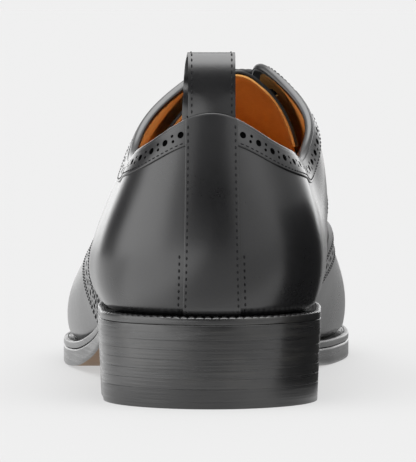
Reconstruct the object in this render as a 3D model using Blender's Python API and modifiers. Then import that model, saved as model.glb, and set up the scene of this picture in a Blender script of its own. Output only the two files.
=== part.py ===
"""Wingtip derby shoe, left foot: a welted leather shoe built from separate pieces around one last.

All sizes are in millimetres and become metres when a mesh is made. "Along" is measured from the
back of the heel towards the toe, "across" from the centre line of the heel (lateral side negative)
and heights from the floor. The origin lies in the middle of the heel's flat bottom.
"""

import math
from collections import namedtuple

import bmesh
import bpy
from mathutils import Vector

MM = 0.001
GAP = 0.35
HEEL_CENTRE = 38.0

# Bottom: thicknesses and insets of the sole pieces.
WELT_THICK = 2.6
INSOLE_ABOVE_WELT = 2.2
UPPER_INSET = 4.2
WALL = 1.8
WELT_INNER_INSET = 7.2
INSOLE_INSET = WELT_INNER_INSET + GAP
INSOLE_LIFT = 0.5

# Heel: a rubber top piece under a stack of leather lifts.
TOP_PIECE_THICK = 5.9
LIFT_COUNT = 5
LIFT_PITCH = 3.1
HEEL_INSET_AT_SOLE = 0.4
HEEL_INSET_PER_LIFT = 0.14
BREAST_AT_EDGE = 74.0
BREAST_AT_CENTRE = 70.5
HEEL_STACK = TOP_PIECE_THICK + GAP + LIFT_COUNT * LIFT_PITCH

# Leather laid over the upper's own wall.
PANEL = 1.2
BAND = 0.8
STRAP = 1.2
PANEL_OUT = GAP + PANEL
PANEL_FOOT = 0.045
WING_GAP = 0.6
BAND_WIDTH = 8.4
BAND_GAP = 0.5
BAND_FRONT = 91.0
STAY_HALF_TOP = 8.0
STAY_HALF_BOTTOM = 9.4
SEAM_HALF = 0.2

# Facets: rows up the wall and across each piece, beside the columns that the outline shares out.
WALL_ROWS = 8
SOLE_ROWS = 2
WELT_ROWS = 1
HEEL_COLUMNS = 18
BAND_ROWS = 2
STRAP_COLUMNS = 4
TONGUE_COLUMNS = 14
TONGUE_ROWS = 9
HOLE_SIDES = 8
WELD = 0.08
SHARP_EDGE = math.radians(40)
NUDGE = 0.2
SHARE_NUDGE = 0.01
HALVINGS = 40

# Lacing: one round lace in straight bars through punched holes.
LACE_ROWS = 5
LACE_TOP = 115.0
LACE_BOTTOM = 154.0
LACE_RADIUS = 1.15
LACE_CLEAR = 0.4
HOLE_RADIUS = 2.1
HOLE_FROM_EDGE = 8.0
HOLE_CUT_LENGTH = 12.0

# Tongue: an arched strip under the facings.
TONGUE_THICK = 1.8
TONGUE_BELOW_LACE = 1.1
TONGUE_SEAT = 0.7
TONGUE_TOP = 98.0
TONGUE_LEAVES = 157.0
TONGUE_SEWN = 166.0
TONGUE_FRONT = 174.0
TONGUE_CROWN_RADIUS = 12.0
TONGUE_LOW_SHARE = 0.66
TONGUE_OPEN_SHARE = 0.4

LATERAL, MEDIAL = -1, 1

# Sole outline: a row for each section round the last, from the heel's back to the toe's tip.
# The sections fan out round the heel and the toe, and stand straight across the shoe between them.
# Each stands on a pivot and looks along "turn" (degrees, -90 straight back, 90 to the toe). "lateral"
# and "medial" reach from the pivot to the sole's edge, "steps" counts the facets up to the next row.
FAN_RADIUS = 34.0
Outline = namedtuple("Outline", "along across turn lateral medial steps")
OUTLINE = [
    Outline(38, 0.0, -90, 38.0, 38.0, 4),
    Outline(38, 0.0, -45, 36.8, 36.6, 4),
    Outline(38, 0.0, 0, 36.0, 35.5, 3),
    Outline(62, 0.0, 0, 37.2, 36.3, 3),
    Outline(84, 0.0, 0, 36.8, 34.6, 4),
    Outline(102, 0.0, 0, 36.8, 32.0, 3),
    Outline(128, 0.0, 0, 40.6, 32.4, 3),
    Outline(156, 0.3, 0, 47.2, 37.2, 3),
    Outline(182, 0.8, 0, 52.0, 44.6, 3),
    Outline(208, 1.5, 0, 52.8, 49.2, 3),
    Outline(234, 2.8, 0, 49.8, 48.2, 2),
    Outline(260, 4.0, 0, 43.6, 42.0, 5),
    Outline(260, 4.0, 50, 40.2, 40.0, 4),
    Outline(260, 4.0, 90, 42.5, 42.5, 0),
]

# Wall of the last over the same sections, a curve from the welt to the topline, throat or ridge.
# "flare" and "belly" place its lower handle out from and above the welt, "reach" and "rise" its top
# end, "shoulder" and "drop" its upper handle out from and below that end. "lean" swings the lower
# handle to the lateral side, and "ridge" the top end to the medial side.
Wall = namedtuple("Wall", "flare belly lean shoulder drop ridge reach rise")
WALLS = [
    Wall(6.0, 20, 0.0, 4.6, 22.0, 0.0, 30.0, 63.6),
    Wall(6.8, 18, 0.8, 6.0, 20.0, 0.4, 27.8, 53.0),
    Wall(8.6, 15, 1.8, 7.8, 20.0, 1.4, 25.4, 49.0),
    Wall(11.3, 14, 2.6, 6.0, 20.0, 1.8, 27.9, 47.8),
    Wall(12.0, 17, 2.4, 6.4, 22.0, 6.6, 25.8, 63.0),
    Wall(12.0, 24, 0.6, 25.0, 14.0, 9.4, 8.6, 85.0),
    Wall(13.0, 26, -1.2, 30.0, 9.5, 10.0, 6.4, 77.0),
    Wall(12.0, 26, -1.8, 33.0, 4.5, 9.6, 4.8, 65.0),
    Wall(9.6, 25, -0.8, 33.0, 1.0, 7.6, 0.0, 54.0),
    Wall(7.4, 23, 0.0, 31.0, 0.0, 5.6, 0.0, 45.0),
    Wall(5.2, 20, 0.0, 28.0, 0.0, 2.6, 0.0, 37.5),
    Wall(3.2, 17, 0.0, 24.0, 0.0, 0.0, 0.0, 31.0),
    Wall(2.6, 16, 0.0, 21.0, 4.6, 0.0, 0.0, 31.0),
    Wall(2.0, 16, 0.0, 21.0, 6.4, 0.0, 0.0, 31.0),
]

# Side profile of the outsole: flat heel seat, arch, flat tread under the ball, toe spring.
Profile = namedtuple("Profile", "along bottom thick")
PROFILE = [
    Profile(0, HEEL_STACK, 4.8),
    Profile(78, HEEL_STACK, 4.8),
    Profile(104, 14.6, 4.8),
    Profile(130, 6.8, 5.2),
    Profile(158, 1.1, 6.0),
    Profile(178, 0.0, 6.4),
    Profile(216, 0.0, 6.4),
    Profile(240, 0.9, 6.4),
    Profile(270, 4.2, 6.2),
    Profile(303, 9.6, 6.0),
]

# Cut lines of the leather panels: how far along the edge lies at each share of the wall's curve.
CutLine = namedtuple("CutLine", "share along")
WING_EDGE = [
    CutLine(0.0, 112),
    CutLine(0.15, 119),
    CutLine(0.3, 134),
    CutLine(0.45, 154),
    CutLine(0.62, 181),
    CutLine(0.8, 214),
    CutLine(0.9, 214),
    CutLine(1.0, 198),
]
QUARTER_EDGE = [
    CutLine(0.0, 112),
    CutLine(0.3, 121),
    CutLine(0.6, 141),
    CutLine(0.85, 158),
    CutLine(1.0, 162),
]

# Pull loop over the topline: how far out from the upper's surface and how far above its top edge.
LoopPoint = namedtuple("LoopPoint", "out up")
LOOP_OUT = PANEL_OUT + GAP
LOOP_PATH = [
    LoopPoint(LOOP_OUT, 1.05),
    LoopPoint(LOOP_OUT + 0.1, 7.0),
    LoopPoint(LOOP_OUT - 0.4, 12.5),
    LoopPoint(LOOP_OUT - 2.6, 17.2),
    LoopPoint(-3.0, 18.8),
    LoopPoint(-5.6, 17.0),
    LoopPoint(-6.4, 11.0),
    LoopPoint(-WALL - GAP, 3.0),
]
LOOP_TUCK = 13.0
LOOP_TUCK_STEPS = 2
LOOP_ROWS = 14

BLACK_CALF = (0.018, 0.018, 0.020)
TAN_LINING = (0.56, 0.25, 0.075)
EDGE_INK = (0.014, 0.014, 0.015)
RUBBER = (0.020, 0.020, 0.020)
LACE_BLACK = (0.016, 0.016, 0.016)
CALF_ROUGHNESS = 0.32
LINING_ROUGHNESS = 0.55
INK_ROUGHNESS = 0.35
RUBBER_ROUGHNESS = 0.6
LACE_ROUGHNESS = 0.5


def level_slope(before, after, width_before, width_after):
    """The slope between two stretches of a curve that keeps level stretches and never overshoots."""
    if before * after <= 0:
        return 0.0
    return (width_before + width_after) / (width_after / before + width_before / after)


def free_slope(before, after, width_before, width_after):
    """The slope between two stretches of a curve that bends freely."""
    return (before * width_after + after * width_before) / (width_before + width_after)


class SmoothColumn:
    """Values given at rising places, joined by a smooth curve."""

    def __init__(self, places, values, slope, flat_ends=False):
        self.places = list(places)
        self.values = list(values)
        widths = [end - start for start, end in zip(self.places, self.places[1:])]
        rises = [high - low for low, high in zip(self.values, self.values[1:])]
        rates = [rise / width for rise, width in zip(rises, widths)]
        inner = [slope(*pair) for pair in zip(rates, rates[1:], widths, widths[1:])]
        ends = (0.0, 0.0) if flat_ends else (rates[0], rates[-1])
        self.slopes = [ends[0], *inner, ends[1]]

    def at(self, place):
        place = min(max(place, self.places[0]), self.places[-1])
        spans = range(len(self.places) - 2)
        i = next((i for i in spans if place <= self.places[i + 1]), len(self.places) - 2)
        width = self.places[i + 1] - self.places[i]
        t = (place - self.places[i]) / width
        rise = (3 - 2 * t) * t * t
        start = (self.slopes[i] * (1 - t) * (1 - t) * t) * width
        end = (self.slopes[i + 1] * (t - 1) * t * t) * width
        return self.values[i] * (1 - rise) + self.values[i + 1] * rise + start + end


def place_of(row):
    """How far round the last a section stands: its distance along, and the turn of a fan beyond that."""
    return row.along + FAN_RADIUS * math.radians(row.turn)


PLACES = [place_of(row) for row in OUTLINE]
FIRST_CROSS = min(row.along for row in OUTLINE)
LAST_CROSS = max(row.along for row in OUTLINE)

# Columns of the top point, which all sections of the toe's fan share.
TOE_POINT_COLUMNS = {"across", "ridge", "reach", "rise"}


def columns_of(rows):
    """A smooth curve for each named column of a table, against the places of the sections."""
    columns = {}
    for name in rows[0]._fields:
        values = [getattr(row, name) for row in rows]
        columns[name] = SmoothColumn(PLACES, values, free_slope, flat_ends=True)
    return columns


def section_at(columns, place):
    """The columns' values at a place, where all sections of the toe's fan share their top point."""
    shared = min(place, LAST_CROSS)
    values = {}
    for name, column in columns.items():
        values[name] = column.at(shared if name in TOE_POINT_COLUMNS else place)
    return values


def curve_of(rows, place, value):
    """A smooth curve of one column of a table against another."""
    places = [getattr(row, place) for row in rows]
    return SmoothColumn(places, [getattr(row, value) for row in rows], level_slope)


OUTLINE_COLUMNS = columns_of(OUTLINE)
WALL_COLUMNS = columns_of(WALLS)
SOLE_BOTTOM = curve_of(PROFILE, "along", "bottom")
SOLE_THICK = curve_of(PROFILE, "along", "thick")
STEPS_BEFORE = [sum(row.steps for row in OUTLINE[:i]) for i in range(len(OUTLINE))]
HALF_ROUND = STEPS_BEFORE[-1]
ROUND = 2 * HALF_ROUND


def even_place(share):
    """The place at a share of all the facets between the heel's back and the toe's tip."""
    steps = share * HALF_ROUND
    i = max(i for i in range(len(OUTLINE) - 1) if STEPS_BEFORE[i] <= steps)
    return PLACES[i] + (PLACES[i + 1] - PLACES[i]) * (steps - STEPS_BEFORE[i]) / OUTLINE[i].steps


def facet_share(along):
    """The share of all the facets that lies behind a straight cross section."""
    return solve(even_place, along, 0, 1)


def solve(function, target, low, high):
    """The place between low and high where a steadily rising or falling function meets a target."""
    rising = function(high) > function(low)
    for _ in range(HALVINGS):
        middle = (low + high) / 2
        if (function(middle) < target) == rising:
            low = middle
        else:
            high = middle
    return (low + high) / 2


def floor_point(place, side, reach):
    """Where a section's reach ends, seen from above."""
    along = min(max(place, FIRST_CROSS), LAST_CROSS)
    turn = (place - along) / FAN_RADIUS
    across = section_at(OUTLINE_COLUMNS, place)["across"] + side * reach * math.cos(turn)
    return across, along + reach * math.sin(turn)


def sole_reach(place, side):
    return OUTLINE_COLUMNS["lateral" if side == LATERAL else "medial"].at(place)


def outsole_top(along):
    return SOLE_BOTTOM.at(along) + SOLE_THICK.at(along)


def welt_top(along):
    return outsole_top(along) + GAP + WELT_THICK


def on_wall(place, side, share):
    """A point of the last: share 0 lies on the welt, share 1 on the topline, throat or ridge."""
    wall = section_at(WALL_COLUMNS, place)
    foot = sole_reach(place, side) - UPPER_INSET
    top = max(wall["reach"], 0.0) + side * wall["ridge"]
    belly = foot + wall["flare"] - side * wall["lean"]
    reaches = (foot, belly, top + wall["shoulder"], top)
    rises = (0.0, wall["belly"], wall["rise"] - wall["drop"], wall["rise"])
    rest = 1 - share
    weights = (rest**3, 3 * share * rest**2, 3 * share**2 * rest, share**3)
    reach = sum(w * r for w, r in zip(weights, reaches))
    rise = sum(w * r for w, r in zip(weights, rises))
    across, along = floor_point(place, side, reach)
    return Vector((across, along, welt_top(along) + GAP + rise))


def side_normal(place, side, share):
    """The outward direction of one side of the last at a point."""
    share = min(share, 1 - 2 * SHARE_NUDGE)
    place = min(max(place, PLACES[0] + NUDGE), PLACES[-1] - NUDGE)
    forward = on_wall(place + NUDGE, side, share) - on_wall(place - NUDGE, side, share)
    upward = on_wall(place, side, share + SHARE_NUDGE) - on_wall(place, side, max(share - SHARE_NUDGE, 0))
    return side * forward.cross(upward).normalized()


def wall_normal(place, side, share):
    """The outward direction of the last, which both sides share along the closed ridge."""
    closed = section_at(WALL_COLUMNS, place)["reach"] <= 0
    if closed and share == 1:
        place = min(place, LAST_CROSS)
        both = side_normal(place, LATERAL, share) + side_normal(place, MEDIAL, share)
        return both.normalized()
    return side_normal(place, side, share)


def off_wall(place, side, share, out):
    """A point that stands out from the last, or inside it where out is negative."""
    return on_wall(place, side, share) + wall_normal(place, side, share) * out


def share_below_edge(place, side, distance):
    """The share of the wall's curve that lies a distance below its top edge."""
    edge = on_wall(place, side, 1)
    return solve(lambda share: -(on_wall(place, side, share) - edge).length, -distance, 0, 1)


def place_across(share, across):
    """The place near the heel's back whose wall stands that far from the centre line."""
    return solve(lambda place: on_wall(place, MEDIAL, share).x, across, PLACES[0], FIRST_CROSS)


def side_of(c):
    return MEDIAL if c >= 0 else LATERAL


def metres(point):
    """The part's place for a point: the origin is under the middle of the heel."""
    return Vector((point[0], point[1] - HEEL_CENTRE, point[2])) * MM


def material(name, colour, roughness):
    made = bpy.data.materials.get(name)
    if made is None:
        made = bpy.data.materials.new(name)
        made.use_nodes = True
        shader = made.node_tree.nodes["Principled BSDF"]
        shader.inputs["Base Color"].default_value = (*colour, 1)
        shader.inputs["Roughness"].default_value = roughness
        shader.inputs["Metallic"].default_value = 0.0
    return made


def calf():
    return material("black_calf", BLACK_CALF, CALF_ROUGHNESS)


def lining():
    return material("tan_lining", TAN_LINING, LINING_ROUGHNESS)


def edge_ink():
    return material("inked_edge", EDGE_INK, INK_ROUGHNESS)


def rubber():
    return material("heel_rubber", RUBBER, RUBBER_ROUGHNESS)


def waxed_lace():
    return material("waxed_lace", LACE_BLACK, LACE_ROUGHNESS)


def mapped_grid(columns, rows, point):
    """A grid from -1 to 1 both ways, bent so that each corner lands on point(c, r).

    All grids are split along the same diagonal, so that sheets laid on each other keep their gap.
    """
    grid = bmesh.new()
    bmesh.ops.create_grid(grid, x_segments=columns, y_segments=rows, size=1)
    bmesh.ops.triangulate(grid, faces=grid.faces, quad_method="FIXED")
    for vertex in grid.verts:
        vertex.co = metres(point(vertex.co.x, vertex.co.y))
    bmesh.ops.remove_doubles(grid, verts=grid.verts, dist=WELD * MM)
    return grid


def add_object(name, shape, finish, collection):
    obj = bpy.data.objects.new(name, shape)
    shape.materials.append(finish)
    collection.objects.link(obj)
    return obj


def mesh_from(name, grid):
    mesh = bpy.data.meshes.new(name)
    grid.to_mesh(mesh)
    grid.free()
    mesh.shade_smooth()
    mesh.set_sharp_from_angle(angle=SHARP_EDGE)
    return mesh


def shell(name, columns, rows, point, thick, finish, collection):
    """A bent sheet with a wall: a positive thickness grows outwards, a negative one inwards."""
    obj = add_object(name, mesh_from(name, mapped_grid(columns, rows, point)), finish, collection)
    wall = obj.modifiers.new("wall", "SOLIDIFY")
    wall.thickness = abs(thick) * MM
    wall.offset = 1 if thick > 0 else -1
    wall.use_even_offset = True
    return obj


def plate(name, columns, rows, point, bottom, thick, finish, collection):
    """A flat or bent plate: an outline seen from above, with its bottom's height along the shoe."""

    def low_point(c, r):
        across, along = point(c, r)
        return across, along, bottom(along)

    grid = mapped_grid(columns, rows, low_point)
    raised = bmesh.ops.extrude_face_region(grid, geom=grid.faces[:], use_keep_orig=True)
    for vertex in raised["geom"]:
        if isinstance(vertex, bmesh.types.BMVert):
            vertex.co.z += thick(vertex.co.y / MM + HEEL_CENTRE) * MM
    bmesh.ops.recalc_face_normals(grid, faces=grid.faces)
    return add_object(name, mesh_from(name, grid), finish, collection)


def inset_point(outer, inner):
    """A ring seen from above, between two insets of the sole's edge; no inner inset fills it."""

    def point(c, r):
        place = even_place(abs(c))
        reach = sole_reach(place, side_of(c))
        edge = reach - outer
        centre = 0.0 if inner is None else reach - inner
        return floor_point(place, side_of(c), edge + (centre - edge) * (r + 1) / 2)

    return point


def make_outsole(parts):
    outline = inset_point(0, None)
    return plate("outsole", ROUND, SOLE_ROWS, outline, SOLE_BOTTOM.at, SOLE_THICK.at, edge_ink(), parts)


def make_welt(parts):
    """The narrow strip round the whole shoe, between the sole and the upper."""

    def bottom(along):
        return outsole_top(along) + GAP

    def thick(along):
        return WELT_THICK

    ring = inset_point(0, WELT_INNER_INSET)
    return plate("welt", ROUND, WELT_ROWS, ring, bottom, thick, edge_ink(), parts)


def make_insole(parts):
    """The tan sock that closes the upper underneath, inside the welt."""

    def bottom(along):
        return outsole_top(along) + INSOLE_LIFT

    def thick(along):
        return WELT_THICK + INSOLE_ABOVE_WELT

    outline = inset_point(INSOLE_INSET, None)
    return plate("insole", ROUND, SOLE_ROWS, outline, bottom, thick, lining(), parts)


def heel_point(inset):
    """The heel's outline, rounded at the back and slightly hollow at the breast."""

    def point(c, r):
        inward = (r + 1) / 2
        breast = BREAST_AT_EDGE + (BREAST_AT_CENTRE - BREAST_AT_EDGE) * inward
        place = even_place(abs(c) * facet_share(breast))
        reach = (sole_reach(place, side_of(c)) - inset) * (1 - inward)
        return floor_point(place, side_of(c), reach)

    return point


def make_heel_layer(name, layer, bottom, thick, finish, parts):
    """One layer of the heel; each is a little wider than the one below it."""
    outline = heel_point(HEEL_INSET_AT_SOLE + (LIFT_COUNT - layer) * HEEL_INSET_PER_LIFT)
    levels = (lambda along: bottom, lambda along: thick)
    return plate(name, HEEL_COLUMNS, SOLE_ROWS, outline, *levels, finish, parts)


def make_heel(parts):
    """The rubber top piece and the leather lifts stacked above it."""
    make_heel_layer("heel_top_piece", 0, 0.0, TOP_PIECE_THICK, rubber(), parts)
    for lift in range(1, LIFT_COUNT + 1):
        bottom = TOP_PIECE_THICK + GAP + (lift - 1) * LIFT_PITCH
        make_heel_layer(f"heel_lift_{lift}", lift, bottom, LIFT_PITCH - GAP, edge_ink(), parts)


def make_upper(parts):
    """The hollow upper: open at the collar and throat, and underneath where the sole closes it."""

    def point(c, r):
        return on_wall(even_place(abs(c)), side_of(c), (r + 1) / 2)

    return shell("upper", ROUND, WALL_ROWS, point, -WALL, calf(), parts)


def panel_share(r):
    """The share of the wall's curve for a row of a panel, which starts just above the welt."""
    return max((r + 1) / 2, PANEL_FOOT)


def make_wingtip(parts):
    """The toe cap with its point on the ridge and its two wings along the sides."""
    edge = curve_of(WING_EDGE, "share", "along")

    def point(c, r):
        share = panel_share(r)
        place = max(even_place(1 - abs(c)), edge.at(share))
        return off_wall(place, -side_of(c), share, WING_GAP)

    return shell("wingtip_cap", ROUND, WALL_ROWS, point, PANEL, calf(), parts)


def make_quarter(name, side, parts):
    """One rear side of the upper, from the seam at the heel to its curved front edge and facing."""
    edge = curve_of(QUARTER_EDGE, "share", "along")

    def point(c, r):
        share = panel_share(r)
        place = even_place((1 + side * c) / 2)
        place = max(place, place_across(share, SEAM_HALF))
        return off_wall(min(place, edge.at(share)), side, share, GAP)

    return shell(name, HALF_ROUND, WALL_ROWS, point, PANEL, calf(), parts)


def stay_half(share):
    return STAY_HALF_BOTTOM + (STAY_HALF_TOP - STAY_HALF_BOTTOM) * share


def make_collar_band(name, side, parts):
    """The strip sewn along the topline, from the back strap to the facing."""
    back = place_across(1.0, stay_half(1.0) + GAP)

    def point(c, r):
        place = min(max(even_place((1 + side * c) / 2), back), BAND_FRONT)
        low = share_below_edge(place, side, BAND_WIDTH)
        return off_wall(place, side, low + (1 - low) * (r + 1) / 2, PANEL_OUT + BAND_GAP)

    return shell(name, HALF_ROUND, BAND_ROWS, point, BAND, calf(), parts)


def make_back_strap(parts):
    """The narrow strip over the seam at the back of the heel."""

    def point(c, r):
        share = panel_share(r)
        place = place_across(share, abs(c) * stay_half(share))
        return off_wall(place, side_of(c), share, PANEL_OUT + GAP)

    return shell("back_strap", STRAP_COLUMNS, WALL_ROWS, point, STRAP, calf(), parts)


def make_pull_loop(parts):
    """The loop that carries the back strap over the topline and tucks inside the collar."""
    steps = range(len(LOOP_PATH))
    out = SmoothColumn(steps, [p.out for p in LOOP_PATH], level_slope)
    up = SmoothColumn(steps, [p.up for p in LOOP_PATH], level_slope)
    last = len(LOOP_PATH) - 1
    level = Vector((1, 1, 0))

    def point(c, r):
        along_loop = (r + 1) / 2 * (last + LOOP_TUCK_STEPS)
        place = place_across(1.0, abs(c) * STAY_HALF_TOP)
        if along_loop <= last:
            outward = (wall_normal(place, side_of(c), 1.0) * level).normalized()
            place = on_wall(place, side_of(c), 1.0) + outward * out.at(along_loop)
            return place + Vector((0, 0, up.at(along_loop)))
        depth = LOOP_TUCK * (along_loop - last) / LOOP_TUCK_STEPS
        share = share_below_edge(place, side_of(c), depth)
        return off_wall(place, side_of(c), share, LOOP_PATH[-1].out)

    return shell("pull_loop", STRAP_COLUMNS, LOOP_ROWS, point, STRAP, calf(), parts)


def make_tongue(parts):
    """The arched tongue: sewn under the vamp, free under the facings and rising between them."""
    free = WALL + 2 * LACE_RADIUS + TONGUE_BELOW_LACE
    sewn = WALL + TONGUE_SEAT
    places = (TONGUE_TOP, TONGUE_LEAVES, TONGUE_SEWN, TONGUE_FRONT)
    below = SmoothColumn(places, (free, free, sewn, sewn), level_slope)

    def point(c, r):
        place = TONGUE_TOP + (TONGUE_FRONT - TONGUE_TOP) * (r + 1) / 2
        edges = {side: off_wall(place, side, 1.0, -below.at(place)) for side in (LATERAL, MEDIAL)}
        if abs(c) <= TONGUE_OPEN_SHARE:
            t = abs(c) / TONGUE_OPEN_SHARE
            centre = (edges[LATERAL] + edges[MEDIAL]) / 2
            half = (edges[MEDIAL] - edges[LATERAL]).length / 2
            crown = Vector((0, 0, half * half / (2 * TONGUE_CROWN_RADIUS)))
            return centre + (edges[side_of(c)] - centre) * t + crown * (1 - t * t)
        t = (abs(c) - TONGUE_OPEN_SHARE) / (1 - TONGUE_OPEN_SHARE)
        share = 1 + (TONGUE_LOW_SHARE - 1) * t
        return off_wall(place, side_of(c), share, -below.at(place))

    return shell("tongue", TONGUE_COLUMNS, TONGUE_ROWS, point, -TONGUE_THICK, calf(), parts)


def lace_places():
    pitch = (LACE_BOTTOM - LACE_TOP) / (LACE_ROWS - 1)
    return [LACE_TOP + row * pitch for row in range(LACE_ROWS)]


def lace_hole(place, side):
    """The share of the wall's curve where a lace hole is punched."""
    return share_below_edge(place, side, HOLE_FROM_EDGE)


def cut_lace_holes(name, side, pieces, cutters):
    """Punches the holes of one facing through each of the given pieces."""
    holes = bmesh.new()
    for place in lace_places():
        share = lace_hole(place, side)
        turn = wall_normal(place, side, share).to_track_quat("Z", "Y").to_matrix().to_4x4()
        turn.translation = metres(on_wall(place, side, share))
        bmesh.ops.create_cone(
            holes,
            cap_ends=True,
            segments=HOLE_SIDES,
            radius1=HOLE_RADIUS * MM,
            radius2=HOLE_RADIUS * MM,
            depth=HOLE_CUT_LENGTH * MM,
            matrix=turn,
        )
    mesh = bpy.data.meshes.new(name)
    holes.to_mesh(mesh)
    holes.free()
    cutter = bpy.data.objects.new(name, mesh)
    cutters.objects.link(cutter)
    cutter.hide_render = True
    cutter.display_type = "WIRE"
    for piece in pieces:
        cut = piece.modifiers.new("lace_holes", "BOOLEAN")
        cut.operation = "DIFFERENCE"
        cut.object = cutter


def lace_route():
    """The lace in straight bars: across on the outside, through a hole and on to the next row inside.

    From the lowest bar it runs back up inside, between the holes and the facing's edge, so that both
    ends stop at the top holes.
    """
    above = PANEL_OUT + LACE_RADIUS + LACE_CLEAR
    below = -WALL - LACE_RADIUS - LACE_CLEAR
    route = []
    for row, place in enumerate(lace_places()):
        start = LATERAL if row % 2 == 0 else MEDIAL
        near, far = (lace_hole(place, side) for side in (start, -start))
        route += [off_wall(place, start, near, below), off_wall(place, start, near, above)]
        route += [off_wall(place, start, (near + 1) / 2, above), off_wall(place, start, 1.0, above)]
        route += [off_wall(place, -start, 1.0, above), off_wall(place, -start, (far + 1) / 2, above)]
        route += [off_wall(place, -start, far, above), off_wall(place, -start, far, below)]
    for place in reversed(lace_places()):
        beside = (lace_hole(place, -start) + 1) / 2
        route.append(off_wall(place, -start, beside, below - GAP))
    return route


def make_lace(parts):
    curve = bpy.data.curves.new("lace", "CURVE")
    curve.dimensions = "3D"
    curve.bevel_depth = LACE_RADIUS * MM
    curve.bevel_resolution = 2
    curve.use_fill_caps = True
    spline = curve.splines.new("POLY")
    route = lace_route()
    spline.points.add(len(route) - 1)
    for corner, point in zip(spline.points, route):
        corner.co = (*metres(point), 1)
    return add_object("lace", curve, waxed_lace(), parts)


def main():
    for old in list(bpy.data.objects):
        bpy.data.objects.remove(old)
    parts = bpy.data.collections.new("wingtip_derby_shoe")
    cutters = bpy.data.collections.new("cutters")
    bpy.context.scene.collection.children.link(parts)
    bpy.context.scene.collection.children.link(cutters)

    make_outsole(parts)
    make_welt(parts)
    make_insole(parts)
    make_heel(parts)
    upper = make_upper(parts)
    make_wingtip(parts)
    make_tongue(parts)
    for name, side in (("lateral", LATERAL), ("medial", MEDIAL)):
        quarter = make_quarter(f"quarter_{name}", side, parts)
        make_collar_band(f"collar_band_{name}", side, parts)
        cut_lace_holes(f"lace_hole_cutter_{name}", side, (upper, quarter), cutters)
    make_back_strap(parts)
    make_pull_loop(parts)
    make_lace(parts)


main()
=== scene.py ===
"""The finished wingtip derby shoe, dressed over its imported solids.

Sizes are in millimetres until a mesh is placed. "Along" runs from the back of the heel to the toe,
"across" from the centre line (lateral side negative), heights from the floor.
"""

import math
from collections import namedtuple

import bmesh
import bpy
import numpy as np
from mathutils import Matrix, Vector
from mathutils.bvhtree import BVHTree


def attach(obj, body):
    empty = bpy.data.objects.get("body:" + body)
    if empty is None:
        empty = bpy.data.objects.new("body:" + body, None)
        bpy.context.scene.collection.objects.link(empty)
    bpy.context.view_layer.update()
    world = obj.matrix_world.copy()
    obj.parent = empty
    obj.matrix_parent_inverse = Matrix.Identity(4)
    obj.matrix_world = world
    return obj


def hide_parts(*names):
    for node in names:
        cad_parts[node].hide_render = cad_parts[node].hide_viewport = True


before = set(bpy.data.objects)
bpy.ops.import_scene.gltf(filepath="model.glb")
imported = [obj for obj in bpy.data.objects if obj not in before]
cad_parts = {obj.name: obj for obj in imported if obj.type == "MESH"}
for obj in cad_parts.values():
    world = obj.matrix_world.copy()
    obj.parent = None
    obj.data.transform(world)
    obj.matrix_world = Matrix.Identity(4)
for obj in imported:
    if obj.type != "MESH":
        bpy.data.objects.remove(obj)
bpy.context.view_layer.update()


# Outsole
# One thick leather sole cut to the shoe's outline, stitched to the welt all round. Its edge is inked
# black and burnished, and its underside is left as natural tan leather.
MM = 0.001
HEEL_CENTRE = 38.0
LATERAL, MEDIAL = -1, 1
FAN_RADIUS = 34.0
FINE_STEPS = 1600
# Sections of the sole seen from above: where each starts from, how far it is turned in the fan at the
# heel or the toe, and how far the edge lies to both sides.
Outline = namedtuple("Outline", "along across turn lateral medial")
OUTLINE = [
    Outline(38, 0.0, -90, 38.0, 38.0),
    Outline(38, 0.0, -45, 36.8, 36.6),
    Outline(38, 0.0, 0, 36.0, 35.5),
    Outline(62, 0.0, 0, 37.2, 36.3),
    Outline(84, 0.0, 0, 36.8, 34.6),
    Outline(102, 0.0, 0, 36.8, 32.0),
    Outline(128, 0.0, 0, 40.6, 32.4),
    Outline(156, 0.3, 0, 47.2, 37.2),
    Outline(182, 0.8, 0, 52.0, 44.6),
    Outline(208, 1.5, 0, 52.8, 49.2),
    Outline(234, 2.8, 0, 49.8, 48.2),
    Outline(260, 4.0, 0, 43.6, 42.0),
    Outline(260, 4.0, 50, 40.2, 40.0),
    Outline(260, 4.0, 90, 42.5, 42.5),
]
HEEL_STACK = 21.75
# The sole seen from the side: the height of its underside, and its thickness.
Profile = namedtuple("Profile", "along bottom thick")
PROFILE = [
    Profile(0, HEEL_STACK, 4.8),
    Profile(78, HEEL_STACK, 4.8),
    Profile(104, 14.6, 4.8),
    Profile(130, 6.8, 5.2),
    Profile(158, 1.1, 6.0),
    Profile(178, 0.0, 6.4),
    Profile(216, 0.0, 6.4),
    Profile(240, 0.9, 6.4),
    Profile(270, 4.2, 6.2),
    Profile(303, 9.6, 6.0),
]
SOLE_EASE = 4.0
SOLE_COLUMNS = 640
# The sole cut across, from the middle of its underside round its edge to the middle of its top.
SoleRow = namedtuple("SoleRow", "spread inset up of_thickness")
SOLE_ROWS = [
    SoleRow(0.0, 0.0, 0.0, 0),
    SoleRow(0.2, 0.0, 0.0, 0),
    SoleRow(0.4, 0.0, 0.0, 0),
    SoleRow(0.6, 0.0, 0.0, 0),
    SoleRow(0.8, 0.0, 0.0, 0),
    SoleRow(0.93, 0.0, 0.0, 0),
    SoleRow(1.0, 0.9, 0.0, 0),
    SoleRow(1.0, 0.5, 0.08, 0),
    SoleRow(1.0, 0.2, 0.3, 0),
    SoleRow(1.0, 0.04, 0.7, 0),
    SoleRow(1.0, 0.0, 1.2, 0),
    SoleRow(1.0, 0.0, -1.0, 1),
    SoleRow(1.0, 0.06, -0.55, 1),
    SoleRow(1.0, 0.3, -0.2, 1),
    SoleRow(1.0, 0.8, 0.0, 1),
    SoleRow(0.8, 0.0, 0.0, 1),
    SoleRow(0.4, 0.0, 0.0, 1),
    SoleRow(0.0, 0.0, 0.0, 1),
]
WELD = 0.02
SHARP_EDGE = math.radians(38)
INK_BLACK = (0.007, 0.007, 0.0075, 1)
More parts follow.
